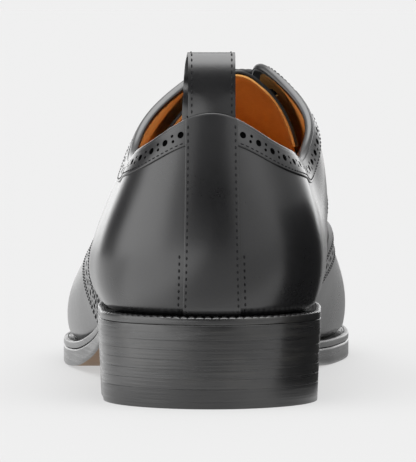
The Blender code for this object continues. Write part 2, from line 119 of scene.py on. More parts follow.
INK_WORN = (0.022, 0.021, 0.019, 1)
SOLE_TAN = (0.26, 0.15, 0.07, 1)
SOLE_TAN_DARK = (0.17, 0.095, 0.045, 1)
FLUSH, FLUSH_TO, FLUSH_FADE = 0.12, 66.0, 18.0
UNDERSIDE = -0.8
BARE_FROM = 36.0
BARE_AREA = 0.6


def soft_curve(places, values, ease, level=False):
    """A smooth curve through a table's values, eased over a distance; level stretches can stay level."""
    places, values = np.array(places, float), np.array(values, float)
    widths = np.diff(places)
    rates = np.diff(values) / widths
    before, after = rates[:-1], rates[1:]
    if level:
        same = before * after > 0
        mean = widths[1:] * np.where(same, after, 1) + widths[:-1] * np.where(same, before, 1)
        inner = np.where(same, (widths[:-1] + widths[1:]) * before * after / np.where(same, mean, 1), 0)
        slopes = np.concatenate([rates[:1], inner, rates[-1:]])
    else:
        inner = (before * widths[1:] + after * widths[:-1]) / (widths[:-1] + widths[1:])
        slopes = np.concatenate([[0], inner, [0]])
    fine = np.linspace(places[0], places[-1], FINE_STEPS)
    i = np.clip(np.searchsorted(places, fine, side="right") - 1, 0, len(widths) - 1)
    t = (fine - places[i]) / widths[i]
    rise = (3 - 2 * t) * t * t
    bend = (slopes[i] * (1 - t) ** 2 * t + slopes[i + 1] * (t - 1) * t * t) * widths[i]
    curve = values[i] * (1 - rise) + values[i + 1] * rise + bend
    if ease > 0:
        step = fine[1] - fine[0]
        reach = int(3 * ease / step)
        weights = np.exp(-0.5 * (np.arange(-reach, reach + 1) * step / ease) ** 2)
        padded = np.pad(curve, reach, mode="reflect", reflect_type="odd" if level else "even")
        curve = np.convolve(padded, weights / weights.sum(), mode="valid")
    return lambda place: np.interp(place, fine, curve)


PLACES = [row.along + FAN_RADIUS * math.radians(row.turn) for row in OUTLINE]
FIRST_CROSS, LAST_CROSS = 38.0, 260.0
ACROSS = soft_curve(PLACES, [row.across for row in OUTLINE], SOLE_EASE)
REACH_LATERAL = soft_curve(PLACES, [row.lateral for row in OUTLINE], SOLE_EASE)
REACH_MEDIAL = soft_curve(PLACES, [row.medial for row in OUTLINE], SOLE_EASE)
ALONGS = [row.along for row in PROFILE]
sole_bottom = soft_curve(ALONGS, [row.bottom for row in PROFILE], SOLE_EASE, level=True)
sole_thick = soft_curve(ALONGS, [row.thick for row in PROFILE], SOLE_EASE, level=True)


def floor_point(place, side, reach):
    """Where a section's reach ends, seen from above: the sections fan out at the heel and the toe."""
    along = np.clip(place, FIRST_CROSS, LAST_CROSS)
    turn = (place - along) / FAN_RADIUS
    across = ACROSS(np.minimum(place, LAST_CROSS)) + side * reach * np.cos(turn)
    return across, along + reach * np.sin(turn)


def sole_reach(place, side):
    return np.where(side < 0, REACH_LATERAL(place), REACH_MEDIAL(place))


def sole_top(along):
    return sole_bottom(along) + sole_thick(along)


def side_of(c):
    return np.where(c >= 0, MEDIAL, LATERAL)


def between(low, high, share):
    return low + (high - low) * share


def soft_step(value):
    value = np.clip(value, 0, 1)
    return value * value * (3 - 2 * value)


def metres(points):
    """The row frame's place for points in millimetres: the origin is under the middle of the heel."""
    return (np.asarray(points) - (0, HEEL_CENTRE, 0)) * MM


def bent_sheet(columns, rows, point):
    """A grid from -1 to 1 both ways, bent so that each corner lands on point(c, r)."""
    shape = bmesh.new()
    bmesh.ops.create_grid(shape, x_segments=columns, y_segments=rows, size=1)
    c, r = np.array([vertex.co.xy for vertex in shape.verts]).T
    for vertex, place in zip(shape.verts, metres(np.stack(point(c, r), axis=-1))):
        vertex.co = place
    bmesh.ops.remove_doubles(shape, verts=shape.verts, dist=WELD * MM)
    return shape


def table_rows(rows, r):
    """Each column of a table of profile rows, read at r from -1 to 1."""
    at = (r + 1) / 2 * (len(rows) - 1)
    steps = np.arange(len(rows))
    return [np.interp(at, steps, column) for column in np.array(rows).T]


def add_piece(name, shape, *finishes):
    """An object of the shoe from a bmesh, with its materials, at the origin."""
    mesh = bpy.data.meshes.new(name)
    shape.to_mesh(mesh)
    shape.free()
    for finish in finishes:
        mesh.materials.append(finish.material)
    piece = bpy.data.objects.new(name, mesh)
    bpy.context.scene.collection.objects.link(piece)
    return piece


def settle(piece, sharp=SHARP_EDGE):
    """Applies a piece's modifiers, smooths it and keeps its cut edges crisp."""
    graph = bpy.context.evaluated_depsgraph_get()
    mesh = bpy.data.meshes.new_from_object(piece.evaluated_get(graph))
    rough = piece.data
    piece.modifiers.clear()
    piece.data = mesh
    bpy.data.meshes.remove(rough)
    mesh.name = piece.name
    mesh.shade_smooth()
    mesh.set_sharp_from_angle(angle=sharp)


def join_shoe(piece, slot, *nodes):
    """The piece moves with the shoe's one body and stands for its solids; its slot is not used."""
    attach(piece, "root")
    if nodes:
        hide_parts(*nodes)


class Value:
    """A socket of a node tree: an expression on values adds its Math nodes."""

    def __init__(self, nodes, socket):
        self.nodes = nodes
        self.socket = socket

    def math(self, operation, *terms):
        return self.nodes.node("ShaderNodeMath", {"operation": operation}, dict(enumerate(terms)))

    def __add__(self, other):
        return self.math("ADD", self, other)

    def __radd__(self, other):
        return self.math("ADD", other, self)

    def __rsub__(self, other):
        return self.math("SUBTRACT", other, self)

    def __mul__(self, other):
        return self.math("MULTIPLY", self, other)

    def __rmul__(self, other):
        return self.math("MULTIPLY", other, self)

    def ramp(self, low, high):
        """0 below low, 1 above high, and smooth between them."""
        sockets = {"Value": self, "From Min": low, "From Max": high}
        return self.nodes.node("ShaderNodeMapRange", {"interpolation_type": "SMOOTHSTEP"}, sockets)


class Nodes:
    """A node tree: every node comes from one method that takes its type, settings and sockets."""

    def __init__(self, tree):
        self.tree = tree

    def node(self, kind, settings, sockets, output=0):
        made = self.tree.nodes.new(kind)
        for name, value in settings.items():
            setattr(made, name, value)
        for name, value in sockets.items():
            self.feed(made.inputs[name], value)
        return Value(self, made.outputs[output])

    def feed(self, socket, value):
        if isinstance(value, Value):
            self.tree.links.new(value.socket, socket)
        else:
            socket.default_value = value


class Finish(Nodes):
    """A leather, thread, rubber or ink: a material whose patterns read the shoe's own coordinates."""

    def __init__(self, name, **constants):
        self.material = bpy.data.materials.new(name)
        self.material.use_nodes = True
        super().__init__(self.material.node_tree)
        self.shader = self.tree.nodes["Principled BSDF"]
        for socket, value in constants.items():
            self.shader.inputs[socket.replace("_", " ")].default_value = value

    def give(self, socket, value):
        self.feed(self.shader.inputs[socket], value)

    def places(self, stretch=(1, 1, 1)):
        spots = self.node("ShaderNodeTexCoord", {}, {}, "Object")
        return self.node("ShaderNodeMapping", {}, {"Vector": spots, "Scale": stretch})

    def noise(self, size, detail=2.0, stretch=(1, 1, 1)):
        """Cloudy spots of about that size in millimetres."""
        sockets = {"Vector": self.places(stretch), "Scale": 1 / (size * MM), "Detail": detail}
        return self.node("ShaderNodeTexNoise", {}, sockets)

    def pores(self, size):
        """Small rounded cells of about that size in millimetres, low in the middle."""
        sockets = {"Vector": self.places(), "Scale": 1 / (size * MM)}
        return self.node("ShaderNodeTexVoronoi", {"feature": "SMOOTH_F1"}, sockets)

    def tint(self, share, low, high):
        """A colour between two, by a share from 0 to 1."""
        return self.node("ShaderNodeMix", {"data_type": "RGBA"}, {0: share, 6: low, 7: high}, 2)

    def relief(self, height):
        """Raises the surface by a height in millimetres."""
        self.give("Normal", self.node("ShaderNodeBump", {}, {"Height": height, "Distance": MM}, "Normal"))


def edge_ink(name):
    """Black ink burnished over cut sole leather: fine streaks run round the edge."""
    ink = Finish(name, Specular_IOR_Level=0.9, Coat_Roughness=0.15)
    streak = ink.noise(0.9, 4, (0.03, 0.03, 1))
    cloud = ink.noise(14, 2)
    ink.give("Base Color", ink.tint((streak * cloud).ramp(0.2, 0.5), INK_BLACK, INK_WORN))
    ink.give("Roughness", 0.16 + 0.3 * streak)
    ink.give("Coat Weight", 0.25 + 0.2 * cloud)
    ink.relief(streak * 0.12 + cloud * 0.08 + ink.noise(0.5, 2) * 0.01)
    return ink


def sole_leather(name):
    """Natural oak-bark sole leather: smooth, tan, a little darker in clouds."""
    tan = Finish(name, Specular_IOR_Level=0.4)
    cloud = tan.noise(22, 4)
    fibre = tan.noise(1.2, 4)
    tan.give("Base Color", tan.tint(cloud.ramp(0.3, 0.7), SOLE_TAN, SOLE_TAN_DARK))
    tan.give("Roughness", 0.42 + 0.2 * fibre)
    tan.relief(fibre * 0.04 + cloud * 0.1)
    return tan


def edge_ease(place):
    """How far the sole's edges are rounded: the heel is sanded flush, the rest is rounded."""
    return between(FLUSH, 1.0, soft_step((place - FLUSH_TO) / FLUSH_FADE))


def outsole_point(c, r):
    spread, inset, up, of_thickness = table_rows(SOLE_ROWS, r)
    place = between(PLACES[0], PLACES[-1], np.abs(c))
    side = side_of(c)
    ease = edge_ease(place)
    across, along = floor_point(place, side, sole_reach(place, side) * spread - inset * ease)
    return across, along, sole_bottom(along) + up * ease + of_thickness * sole_thick(along)


EDGE_INK = edge_ink("inked_edge_sole")
shape = bent_sheet(SOLE_COLUMNS, len(SOLE_ROWS) - 1, outsole_point)
bmesh.ops.recalc_face_normals(shape, faces=shape.faces)
for face in shape.faces:
    centre = face.calc_center_median()
    bare = face.normal.z < UNDERSIDE and centre.y > BARE_FROM * MM and face.calc_area() > BARE_AREA * MM * MM
    face.material_index = 1 if bare else 0
outsole = add_piece("outsole_leather", shape, EDGE_INK, sole_leather("sole_leather"))
settle(outsole)
join_shoe(outsole, "inked_edge", "outsole")


# Welt
# A narrow leather strip sewn round the whole shoe, with the sole stitched to it from above. A hot
# wheel has pressed a row of notches across it, and the thread lies in them.
WELT_THICK = 2.6
WELT_SEAM = 0.06
WELT_COLUMNS = 1500
NOTCH_PITCH = 2.6
NOTCH_DEPTH = 0.32
WELT_STITCH_INSET = 1.6
WELT_STITCH = (1.9, 0.42)
STITCH_SIDES, STITCH_RINGS = 6, 4
STITCH_AIM = 0.5
# The welt cut across, once round: how far inside the sole's edge, how high, and how deeply notched.
WeltRow = namedtuple("WeltRow", "inset up notch")
WELT_ROWS = [
    WeltRow(7.2, 0.0, 0),
    WeltRow(0.5, 0.0, 0),
    WeltRow(0.15, 0.15, 0),
    WeltRow(0.0, 0.6, 0),
    WeltRow(0.0, 1.9, 0),
    WeltRow(0.1, 2.3, 0.2),
    WeltRow(0.35, 2.55, 0.6),
    WeltRow(0.8, 2.65, 1),
    WeltRow(1.6, 2.7, 1),
    WeltRow(2.5, 2.65, 1),
    WeltRow(3.0, 2.6, 0.3),
    WeltRow(7.2, 2.6, 0),
    WeltRow(7.2, 0.0, 0),
]
ROUND_PLACES = np.linspace(PLACES[0], PLACES[-1], FINE_STEPS)


def lengths_along(points):
    """How far along a line of points each of them lies."""
    return np.concatenate([[0], np.cumsum(np.linalg.norm(np.diff(points, axis=0), axis=1))])


def sole_edge(side, inset=0.0):
    """The sole's edge seen from above, or a line inside it, from the heel's back to the toe."""
    return np.stack(floor_point(ROUND_PLACES, side, sole_reach(ROUND_PLACES, side) - inset), axis=-1)


EDGE_LENGTH = {side: lengths_along(sole_edge(side)) for side in (LATERAL, MEDIAL)}


def welt_point(c, r):
    inset, up, notch = table_rows(WELT_ROWS, r)
    place = between(PLACES[0], PLACES[-1], np.abs(c))
    side = side_of(c)
    lengths = [np.interp(place, ROUND_PLACES, EDGE_LENGTH[s]) for s in (LATERAL, MEDIAL)]
    length = np.where(side < 0, *lengths)
    across, along = floor_point(place, side, sole_reach(place, side) - inset)
    groove = np.clip(np.cos(length / NOTCH_PITCH * math.tau), 0, 1)
    return across, along, sole_top(along) + WELT_SEAM + up - notch * NOTCH_DEPTH * groove


def unit(vectors):
    return vectors / np.maximum(np.linalg.norm(vectors, axis=-1, keepdims=True), 1e-9)


def stitch_row(shape, points, normals, pitch, length, width):
    """Lays stitches along a line of points in millimetres, flat on the leather."""
    lengths = lengths_along(points)
    for at in (np.arange(int(lengths[-1] / pitch)) + 0.5) * pitch:
        reads = ((at, points), (at + STITCH_AIM, points), (at - STITCH_AIM, points), (at, normals))
        centre, ahead, behind, up = (
            np.array([np.interp(here, lengths, column) for column in field.T]) for here, field in reads)
        forward = unit(ahead - behind)
        side = unit(np.cross(up, forward))
        matrix = Matrix.Identity(4)
        sizes = (length / 2, width / 2, width / 2)
        for column, (axis, size) in enumerate(zip((forward, side, np.cross(forward, side)), sizes)):
            matrix.col[column].xyz = Vector(axis) * size * MM
        matrix.translation = Vector(metres(centre))
        bmesh.ops.create_uvsphere(
            shape, u_segments=STITCH_SIDES, v_segments=STITCH_RINGS, radius=1, matrix=matrix)


def thread(name):
    """Waxed black thread, duller than the leather round it."""
    waxed = Finish(name, Specular_IOR_Level=0.3, Base_Color=(0.008, 0.008, 0.009, 1))
    fibre = waxed.noise(0.3, 3)
    waxed.give("Roughness", 0.55 + 0.3 * fibre)
    waxed.relief(fibre * 0.04)
    return waxed


def lay_stitches(name, rows, pitch, length, width):
    """One joined mesh of all the stitches along several lines of points and normals."""
    shape = bmesh.new()
    for points, normals in rows:
        stitch_row(shape, points, normals, pitch, length, width)
    stitches = add_piece(name, shape, THREAD)
    settle(stitches)
    join_shoe(stitches, "waxed_lace")


THREAD = thread("waxed_thread")
shape = bent_sheet(WELT_COLUMNS, len(WELT_ROWS) - 1, welt_point)
bmesh.ops.recalc_face_normals(shape, faces=shape.faces)
welt = add_piece("welt_strip", shape, EDGE_INK)
settle(welt)
join_shoe(welt, "inked_edge", "welt")

welt_rows = []
for side in (LATERAL, MEDIAL):
    line = sole_edge(side, WELT_STITCH_INSET)
    line = np.column_stack([line, sole_top(line[:, 1]) + WELT_SEAM + WELT_THICK])
    welt_rows.append((line, np.tile((0.0, 0.0, 1.0), (FINE_STEPS, 1))))
lay_stitches("welt_stitches", welt_rows, NOTCH_PITCH, *WELT_STITCH)


# Insole
# A tan leather sock, cemented over the insole board, which closes the shoe underneath. Its edge is
# feathered so that it runs out under the lining.
INSOLE_INSET = 6.0
INSOLE_TOP = 4.8
TAN = (0.72, 0.36, 0.10, 1)
TAN_DEEP = (0.57, 0.255, 0.058, 1)
# The insole cut across, from the middle of its underside round its edge to the middle of its top.
InsoleRow = namedtuple("InsoleRow", "spread inset up")
INSOLE_ROWS = [
    InsoleRow(0.0, 0.0, 0.5),
    InsoleRow(0.5, 0.0, 0.5),
    InsoleRow(1.0, 3.2, 0.5),
    InsoleRow(1.0, 2.6, 3.0),
    InsoleRow(1.0, 0.2, INSOLE_TOP),
    InsoleRow(1.0, 0.6, INSOLE_TOP + 0.4),
    InsoleRow(0.75, 0.0, INSOLE_TOP + 0.3),
    InsoleRow(0.5, 0.0, INSOLE_TOP + 0.2),
    InsoleRow(0.25, 0.0, INSOLE_TOP + 0.1),
    InsoleRow(0.0, 0.0, INSOLE_TOP + 0.1),
]
INSOLE_COLUMNS = 300


def insole_point(c, r):
    spread, inset, up = table_rows(INSOLE_ROWS, r)
    place = between(PLACES[0], PLACES[-1], np.abs(c))
    side = side_of(c)
    reach = (sole_reach(place, side) - INSOLE_INSET) * spread - inset
    across, along = floor_point(place, side, reach)
    return across, along, sole_top(along) + up


def lining_leather(name):
    """Vegetable tanned lining leather: warm tan, dry, with fine grain and soft clouds."""
    tan = Finish(name, Specular_IOR_Level=0.35)
    cloud = tan.noise(18, 3)
    grain = tan.noise(0.8, 3)
    tan.give("Base Color", tan.tint((cloud * 0.8 + grain * 0.2).ramp(0.35, 0.7), TAN, TAN_DEEP))
    tan.give("Roughness", 0.5 + 0.2 * grain)
    tan.relief(grain * 0.03 + tan.pores(1.0) * 0.03 + cloud * 0.2)
    return tan


LINING = lining_leather("tan_lining_leather")
shape = bent_sheet(INSOLE_COLUMNS, len(INSOLE_ROWS) - 1, insole_point)
bmesh.ops.recalc_face_normals(shape, faces=shape.faces)
insole = add_piece("insole_sock", shape, LINING)
settle(insole)
join_shoe(insole, "tan_lining", "insole")


# Heel
# Five leather lifts and a rubber top piece, cemented and nailed in a stack, then sanded, inked and
# burnished together. The joints between the layers stay as fine lines round the heel.
LIFT_COUNT = 5
LIFT_PITCH = 3.1
TOP_PIECE = 6.25
HEEL_INSET_AT_SOLE = 0.15
HEEL_TAPER = 0.045
HEEL_SHARP = math.radians(14)
BREAST_AT_EDGE = 74.0
BREAST_HOLLOW = 3.5
HEEL_SIDES = 260
BREAST_SHARE = 0.25
LIFT_ROUND = 0.09
TOP_PIECE_ROUND = 0.14
ROUND_STEPS = 3
RUBBER_BLACK = (0.008, 0.008, 0.0085, 1)
RUBBER_GREY = (0.018, 0.018, 0.0175, 1)


def heel_outline(turn, inset):
    """The heel seen from above, once round: its curved back, and its hollow breast at the front."""
    at = turn % 1.0
    curved = np.clip(at / (1 - BREAST_SHARE), 0, 1)
    c = between(-1.0, 1.0, curved)
    side = side_of(c)
    place = between(PLACES[0], BREAST_AT_EDGE, np.abs(c))
    across, along = floor_point(place, side, sole_reach(place, side) - inset)
    t = np.clip((at - (1 - BREAST_SHARE)) / BREAST_SHARE, 0, 1)
    end = np.full_like(at, BREAST_AT_EDGE)
    right, left = (
        floor_point(end, s, sole_reach(end, s) - inset)[0] for s in (MEDIAL, LATERAL))
    straight = at > 1 - BREAST_SHARE
    hollow = BREAST_AT_EDGE - BREAST_HOLLOW * 4 * t * (1 - t)
    return np.where(straight, between(right, left, t), across), np.where(straight, hollow, along)


def heel_layer(name, bottom, top, rounding, finish):
    """One layer of the heel: an outline filled, raised and rounded at its top and bottom edges."""
    shape = bmesh.new()
    bmesh.ops.create_circle(shape, cap_ends=True, segments=HEEL_SIDES, radius=1)
    bmesh.ops.extrude_face_region(shape, geom=shape.faces[:], use_keep_orig=True)
    shape.verts.ensure_lookup_table()
    for first, level in ((0, bottom), (HEEL_SIDES, top)):
        inset = HEEL_INSET_AT_SOLE + (HEEL_STACK - level) * HEEL_TAPER
        outline = heel_outline(np.arange(HEEL_SIDES) / HEEL_SIDES, inset)
        places = metres(np.stack([*outline, np.full(HEEL_SIDES, level)], axis=-1))
        for vertex, place in zip(shape.verts[first:first + HEEL_SIDES], places):
            vertex.co = place
    bmesh.ops.recalc_face_normals(shape, faces=shape.faces)
    rims = [edge for edge in shape.edges if abs(edge.verts[0].co.z - edge.verts[1].co.z) < WELD * MM]
    bmesh.ops.bevel(shape, geom=rims, offset=rounding * MM, offset_type="OFFSET", affect="EDGES",
                    segments=ROUND_STEPS, profile=0.5, material=-1, clamp_overlap=True)
    piece = add_piece(name, shape, finish)
    settle(piece, HEEL_SHARP)
    return piece


def heel_rubber(name):
    """Black rubber, sanded and burnished with the lifts, so the same streaks run round it."""
    rubber = Finish(name, Specular_IOR_Level=0.85, Coat_Roughness=0.2)
    streak = rubber.noise(0.9, 4, (0.03, 0.03, 1))
    cloud = rubber.noise(14, 2)
    rubber.give("Base Color", rubber.tint((streak * cloud).ramp(0.2, 0.5), RUBBER_BLACK, RUBBER_GREY))
    rubber.give("Roughness", 0.2 + 0.3 * streak)
    rubber.give("Coat Weight", 0.15 + 0.2 * cloud)
    rubber.relief(streak * 0.1 + cloud * 0.08)
    return rubber


for lift in range(1, LIFT_COUNT + 1):
    bottom = TOP_PIECE + (lift - 1) * LIFT_PITCH
    layer = heel_layer(f"heel_lift_leather_{lift}", bottom, bottom + LIFT_PITCH, LIFT_ROUND, EDGE_INK)
    join_shoe(layer, "inked_edge", f"heel_lift_{lift}")
layer = heel_layer("heel_rubber_piece", 0.0, TOP_PIECE, TOP_PIECE_ROUND, heel_rubber("heel_rubber_dull"))
join_shoe(layer, "heel_rubber", "heel_top_piece")


# Upper
# The vamp and the leather under the sewn panels, drawn over the last and held by the welt: smooth
# black calf outside and a tan leather lining inside.
UPPER_INSET = 4.2
GAP = 0.35
WALL = 1.8
VAMP_THICK = 1.15
LINING_GAP = 0.05
LAST_EASE = 5.0
RING_EASE = 6.0
RING_STEPS = 2 * 660
SHARE_STEPS = 321
TOP_ROWS = 10
# The last's sections, a row for each of the sole's. A side swells by its flare at the height of its belly,
# shifted by its lean. It rounds in over a shoulder, a drop below its top edge, which lies a reach from the
# ridge at the height of its rise.
Wall = namedtuple("Wall", "flare belly lean shoulder drop ridge reach rise")
WALLS = [
    Wall(6.0, 20, 0.0, 4.6, 22.0, 0.0, 30.0, 63.6),
    Wall(6.8, 18, 0.8, 6.0, 20.0, 0.4, 27.8, 53.0),
    Wall(8.6, 15, 1.8, 7.8, 20.0, 1.4, 25.4, 49.0),
    Wall(11.3, 14, 2.6, 6.0, 20.0, 1.8, 27.9, 47.8),
    Wall(12.0, 17, 2.4, 6.4, 22.0, 6.6, 25.8, 63.0),
    Wall(12.0, 24, 0.6, 25.0, 14.0, 9.4, 8.6, 85.0),
    Wall(13.0, 26, -1.2, 30.0, 9.5, 10.0, 6.4, 77.0),
    Wall(12.0, 26, -1.8, 33.0, 4.5, 9.6, 4.8, 65.0),
    Wall(9.6, 25, -0.8, 33.0, 1.0, 7.6, 0.0, 54.0),
    Wall(7.4, 23, 0.0, 31.0, 0.0, 5.6, 0.0, 45.0),
    Wall(5.2, 20, 0.0, 28.0, 0.0, 2.6, 0.0, 37.5),
    Wall(3.2, 17, 0.0, 24.0, 0.0, 0.0, 0.0, 31.0),
    Wall(2.6, 16, 0.0, 21.0, 4.6, 0.0, 0.0, 31.0),
    Wall(2.0, 16, 0.0, 21.0, 6.4, 0.0, 0.0, 31.0),
]
SHARED_TOP = ("ridge", "reach", "rise")
UPPER_GRID, LINING_GRID = (460, 46), (230, 23)
THROAT_OPEN = 3.0
FOLD_ROOM = 0.025
TUCK_DEPTH, TUCK_HEIGHT, TUCK_SINK = 2.2, 3.4, 0.7
ROW_CROWDING = 1.35
CUT_ANGLE = math.radians(50)
INSIDE_HEIGHT = 45.0
CALF_BLACK = (0.0036, 0.0036, 0.0042, 1)
CALF_GREY = (0.0075, 0.0075, 0.0084, 1)
CALF_SPECULAR = 0.8
CALF_COAT_ROUGHNESS = 0.2

# The creases that wear has left, each a soft trough across a side of the last: where it lies, how
# far it runs each way, how wide and deep it is, and how far it leans forward as it rises.
Crease = namedtuple("Crease", "side place share length width depth lean")
CREASES = [
    Crease(LATERAL, 182, 0.74, 0.22, 2.6, 0.30, -16),
    Crease(LATERAL, 190, 0.78, 0.18, 2.4, 0.24, -14),
    Crease(MEDIAL, 183, 0.74, 0.20, 2.6, 0.28, -18),
    Crease(MEDIAL, 191, 0.80, 0.16, 2.2, 0.20, -14),
    Crease(LATERAL, 66, 0.50, 0.26, 9.0, 0.30, 14),
    Crease(LATERAL, 92, 0.42, 0.24, 8.0, 0.26, -22),
    Crease(MEDIAL, 52, 0.55, 0.26, 9.0, 0.35, 16),
    Crease(MEDIAL, 78, 0.48, 0.26, 9.0, 0.32, -14),
    Crease(MEDIAL, 100, 0.40, 0.22, 7.0, 0.26, -26),
]
CREASE_RIDGE, CREASE_RIDGE_WIDTH = 0.5, 1.8


def wall_sections():
    """The last as closed rings of points, one for each share of its wall, eased round each ring."""
    round_shoe = np.arange(RING_STEPS) / RING_STEPS * 2
    medial = round_shoe <= 1
    place = between(PLACES[0], PLACES[-1], np.where(medial, round_shoe, 2 - round_shoe))[:, None]
    side = np.where(medial, MEDIAL, LATERAL)[:, None]
    share = np.linspace(0, 1, SHARE_STEPS)[None, :]
    columns = {}
    for name in Wall._fields:
        ease = 0 if name == "reach" else LAST_EASE
        column = soft_curve(PLACES, [getattr(row, name) for row in WALLS], ease)
        columns[name] = column(np.minimum(place, LAST_CROSS) if name in SHARED_TOP else place)
    foot = sole_reach(place, side) - UPPER_INSET
    top = np.maximum(columns["reach"], 0) + side * columns["ridge"]
    reaches = (foot, foot + columns["flare"] - side * columns["lean"], top + columns["shoulder"], top)
    rises = (0, columns["belly"], columns["rise"] - columns["drop"], columns["rise"])
    rest = 1 - share
    weights = (rest**3, 3 * share * rest**2, 3 * share**2 * rest, share**3)
    reach = sum(w * r for w, r in zip(weights, reaches))
    rise = sum(w * r for w, r in zip(weights, rises))
    across, along = floor_point(place, side, reach)
    return np.stack([across, along, sole_top(along) + WELT_THICK + GAP * (1 + share) + rise], axis=-1)


def eased_round(rings, ease):
    """Softens rings of values over a distance, without drawing them in."""
    step = 2 * (PLACES[-1] - PLACES[0]) / RING_STEPS
    pace = np.fft.fftfreq(RING_STEPS, step)
    keep = np.exp(-0.5 * (math.tau * pace * ease) ** 2)
    keep = (2 * keep - keep**2)[:, None, None]
    return np.real(np.fft.ifft(np.fft.fft(rings, axis=0) * keep, axis=0))


def ring_normals(rings):
    """The outward directions of the last, which both sides share along its ridge."""
    forward = np.roll(rings, -1, axis=0) - np.roll(rings, 1, axis=0)
    upward = np.gradient(rings, axis=1)
    normals = unit(np.cross(forward, upward))
    for row in range(SHARE_STEPS - TOP_ROWS, SHARE_STEPS):
        normals[:, row] = normals[:, SHARE_STEPS - TOP_ROWS - 1]
    mirrored = np.roll(normals[::-1], 1, axis=0)
    shut = np.linalg.norm(rings - np.roll(rings[::-1], 1, axis=0), axis=-1, keepdims=True)[:, -1:]
    shared = soft_step(1 - shut / THROAT_OPEN)
    blend = shared * np.linspace(0, 0.5, TOP_ROWS)[None, :, None]
    top = slice(SHARE_STEPS - TOP_ROWS, SHARE_STEPS)
    normals[:, top] = normals[:, top] * (1 - blend) + mirrored[:, top] * blend
    return unit(eased_round(normals, RING_EASE / 2))


LAST = eased_round(wall_sections(), RING_EASE)
LAST_NORMALS = ring_normals(LAST)
LAST_DOWN = np.zeros(LAST.shape[:2])
LAST_DOWN[:, :-1] = np.cumsum(np.linalg.norm(np.diff(LAST[:, ::-1], axis=1), axis=-1), axis=1)[:, ::-1]


def read_ring(field, place, side, share):
    """A field of the last at places and shares, read between its points."""
    half = RING_STEPS / 2
    at = (np.asarray(place, float) - PLACES[0]) / (PLACES[-1] - PLACES[0]) * half
    at = np.where(np.asarray(side) > 0, at, RING_STEPS - at)
    up = np.clip(np.asarray(share, float), 0, 1) * (SHARE_STEPS - 1)
    at, up = np.broadcast_arrays(at, up)
    i = np.floor(at).astype(int)
    j = np.minimum(np.floor(up).astype(int), SHARE_STEPS - 2)
    s, t = at - i, up - j
    i, after = i % RING_STEPS, (i + 1) % RING_STEPS
    if field.ndim > 2:
        s, t = s[..., None], t[..., None]
    low = field[i, j] * (1 - s) + field[after, j] * s
    high = field[i, j + 1] * (1 - s) + field[after, j + 1] * s
    return low * (1 - t) + high * t


def crease_depth(place, side, share):
    """How deep the creases press the leather in, with a low ridge along both sides of each."""
    depth = 0.0
    for crease in CREASES:
        near = np.exp(-(((share - crease.share) / crease.length) ** 2))
        off = place - crease.place - crease.lean * (share - crease.share)
        trough = np.exp(-((off / crease.width) ** 2))
        ridges = CREASE_RIDGE * np.exp(-((off / crease.width / CREASE_RIDGE_WIDTH) ** 2))
        depth = depth + np.where(side == crease.side, crease.depth * near * (trough - ridges), 0)
    return depth


def foot_tuck(place, side, share):
    """How much the leather turns in and down towards the seam where the welt holds it, from 0 to 1."""
    up = read_ring(LAST_DOWN, place, side, 0.0) - read_ring(LAST_DOWN, place, side, share)
    return np.clip(1 - up / TUCK_HEIGHT, 0, 1) ** 2


def foot_rows(r):
    """The share of the wall for a row of a panel; the rows lie closer near the welt."""
    return np.clip((r + 1) / 2, 0, 1) ** ROW_CROWDING


def off_wall(place, side, share, out):
    """A point that stands out from the last, or inside it where out is negative."""
    tuck = foot_tuck(place, side, share)
    out = np.asarray(out - crease_depth(place, side, share) - TUCK_DEPTH * tuck)
    sunk = np.asarray(tuck)[..., None] * (0, 0, TUCK_SINK)
    wall = read_ring(LAST, place, side, share) - sunk
    return wall + read_ring(LAST_NORMALS, place, side, share) * out[..., None]


def share_down(place, side, down):
    """The share of the wall that lies a distance below its top edge."""
    place, side, down = np.broadcast_arrays(place, side, down)
    shares = np.linspace(0, 1, SHARE_STEPS)
    found = np.empty(place.size)
    for k, (p, s, d) in enumerate(zip(place.flat, side.flat, down.flat)):
        column = read_ring(LAST_DOWN, p, s, shares)
        found[k] = np.interp(d, column[::-1], shares[::-1])
    return found.reshape(place.shape)


def parts_of(points):
    return points[..., 0], points[..., 1], points[..., 2]


def face_outwards(shape):
    """Turns a sheet so that its faces look away from the inside of the shoe."""
    bmesh.ops.recalc_face_normals(shape, faces=shape.faces)
    facing = 0.0
    for face in shape.faces:
        centre = face.calc_center_median()
        away = Vector((centre.x, 0, centre.z - INSIDE_HEIGHT * MM))
        facing += face.normal.dot(away) * face.calc_area()
    if facing < 0:
        bmesh.ops.reverse_faces(shape, faces=shape.faces)


def give_thickness(piece, thick, rounding):
    """Makes a sheet into leather of a thickness, inwards from its face, with rounded cut edges."""
    wall = piece.modifiers.new("thickness", "SOLIDIFY")
    wall.thickness = thick * MM
    wall.offset = -1
    wall.use_rim = True
    if rounding > 0:
        edges = piece.modifiers.new("cut_edges", "BEVEL")
        edges.width = rounding * MM
        edges.segments = ROUND_STEPS
        edges.limit_method = "ANGLE"
        edges.angle_limit = CUT_ANGLE
        edges.profile = 0.5


def leather_piece(name, grid, point, finish, thick, rounding=0.0):
    """A panel bent to its place on the last, with its thickness and its rounded cut edges."""
    shape = bent_sheet(*grid, point)
    face_outwards(shape)
    piece = add_piece(name, shape, finish)
    give_thickness(piece, thick, rounding)
    settle(piece)
    return piece


def upper_place(c, r):
    place = between(PLACES[0], PLACES[-1], np.abs(c))
    side = side_of(c)
    gape = np.linalg.norm(
        read_ring(LAST, place, MEDIAL, 1.0) - read_ring(LAST, place, LATERAL, 1.0), axis=-1)
    share = foot_rows(r) * (1 - FOLD_ROOM * soft_step(gape / THROAT_OPEN))
    return place, side, share


def upper_point(c, r):
    return parts_of(off_wall(*upper_place(c, r), 0.0))


def lining_point(c, r):
    return parts_of(off_wall(*upper_place(c, r), -VAMP_THICK - LINING_GAP))


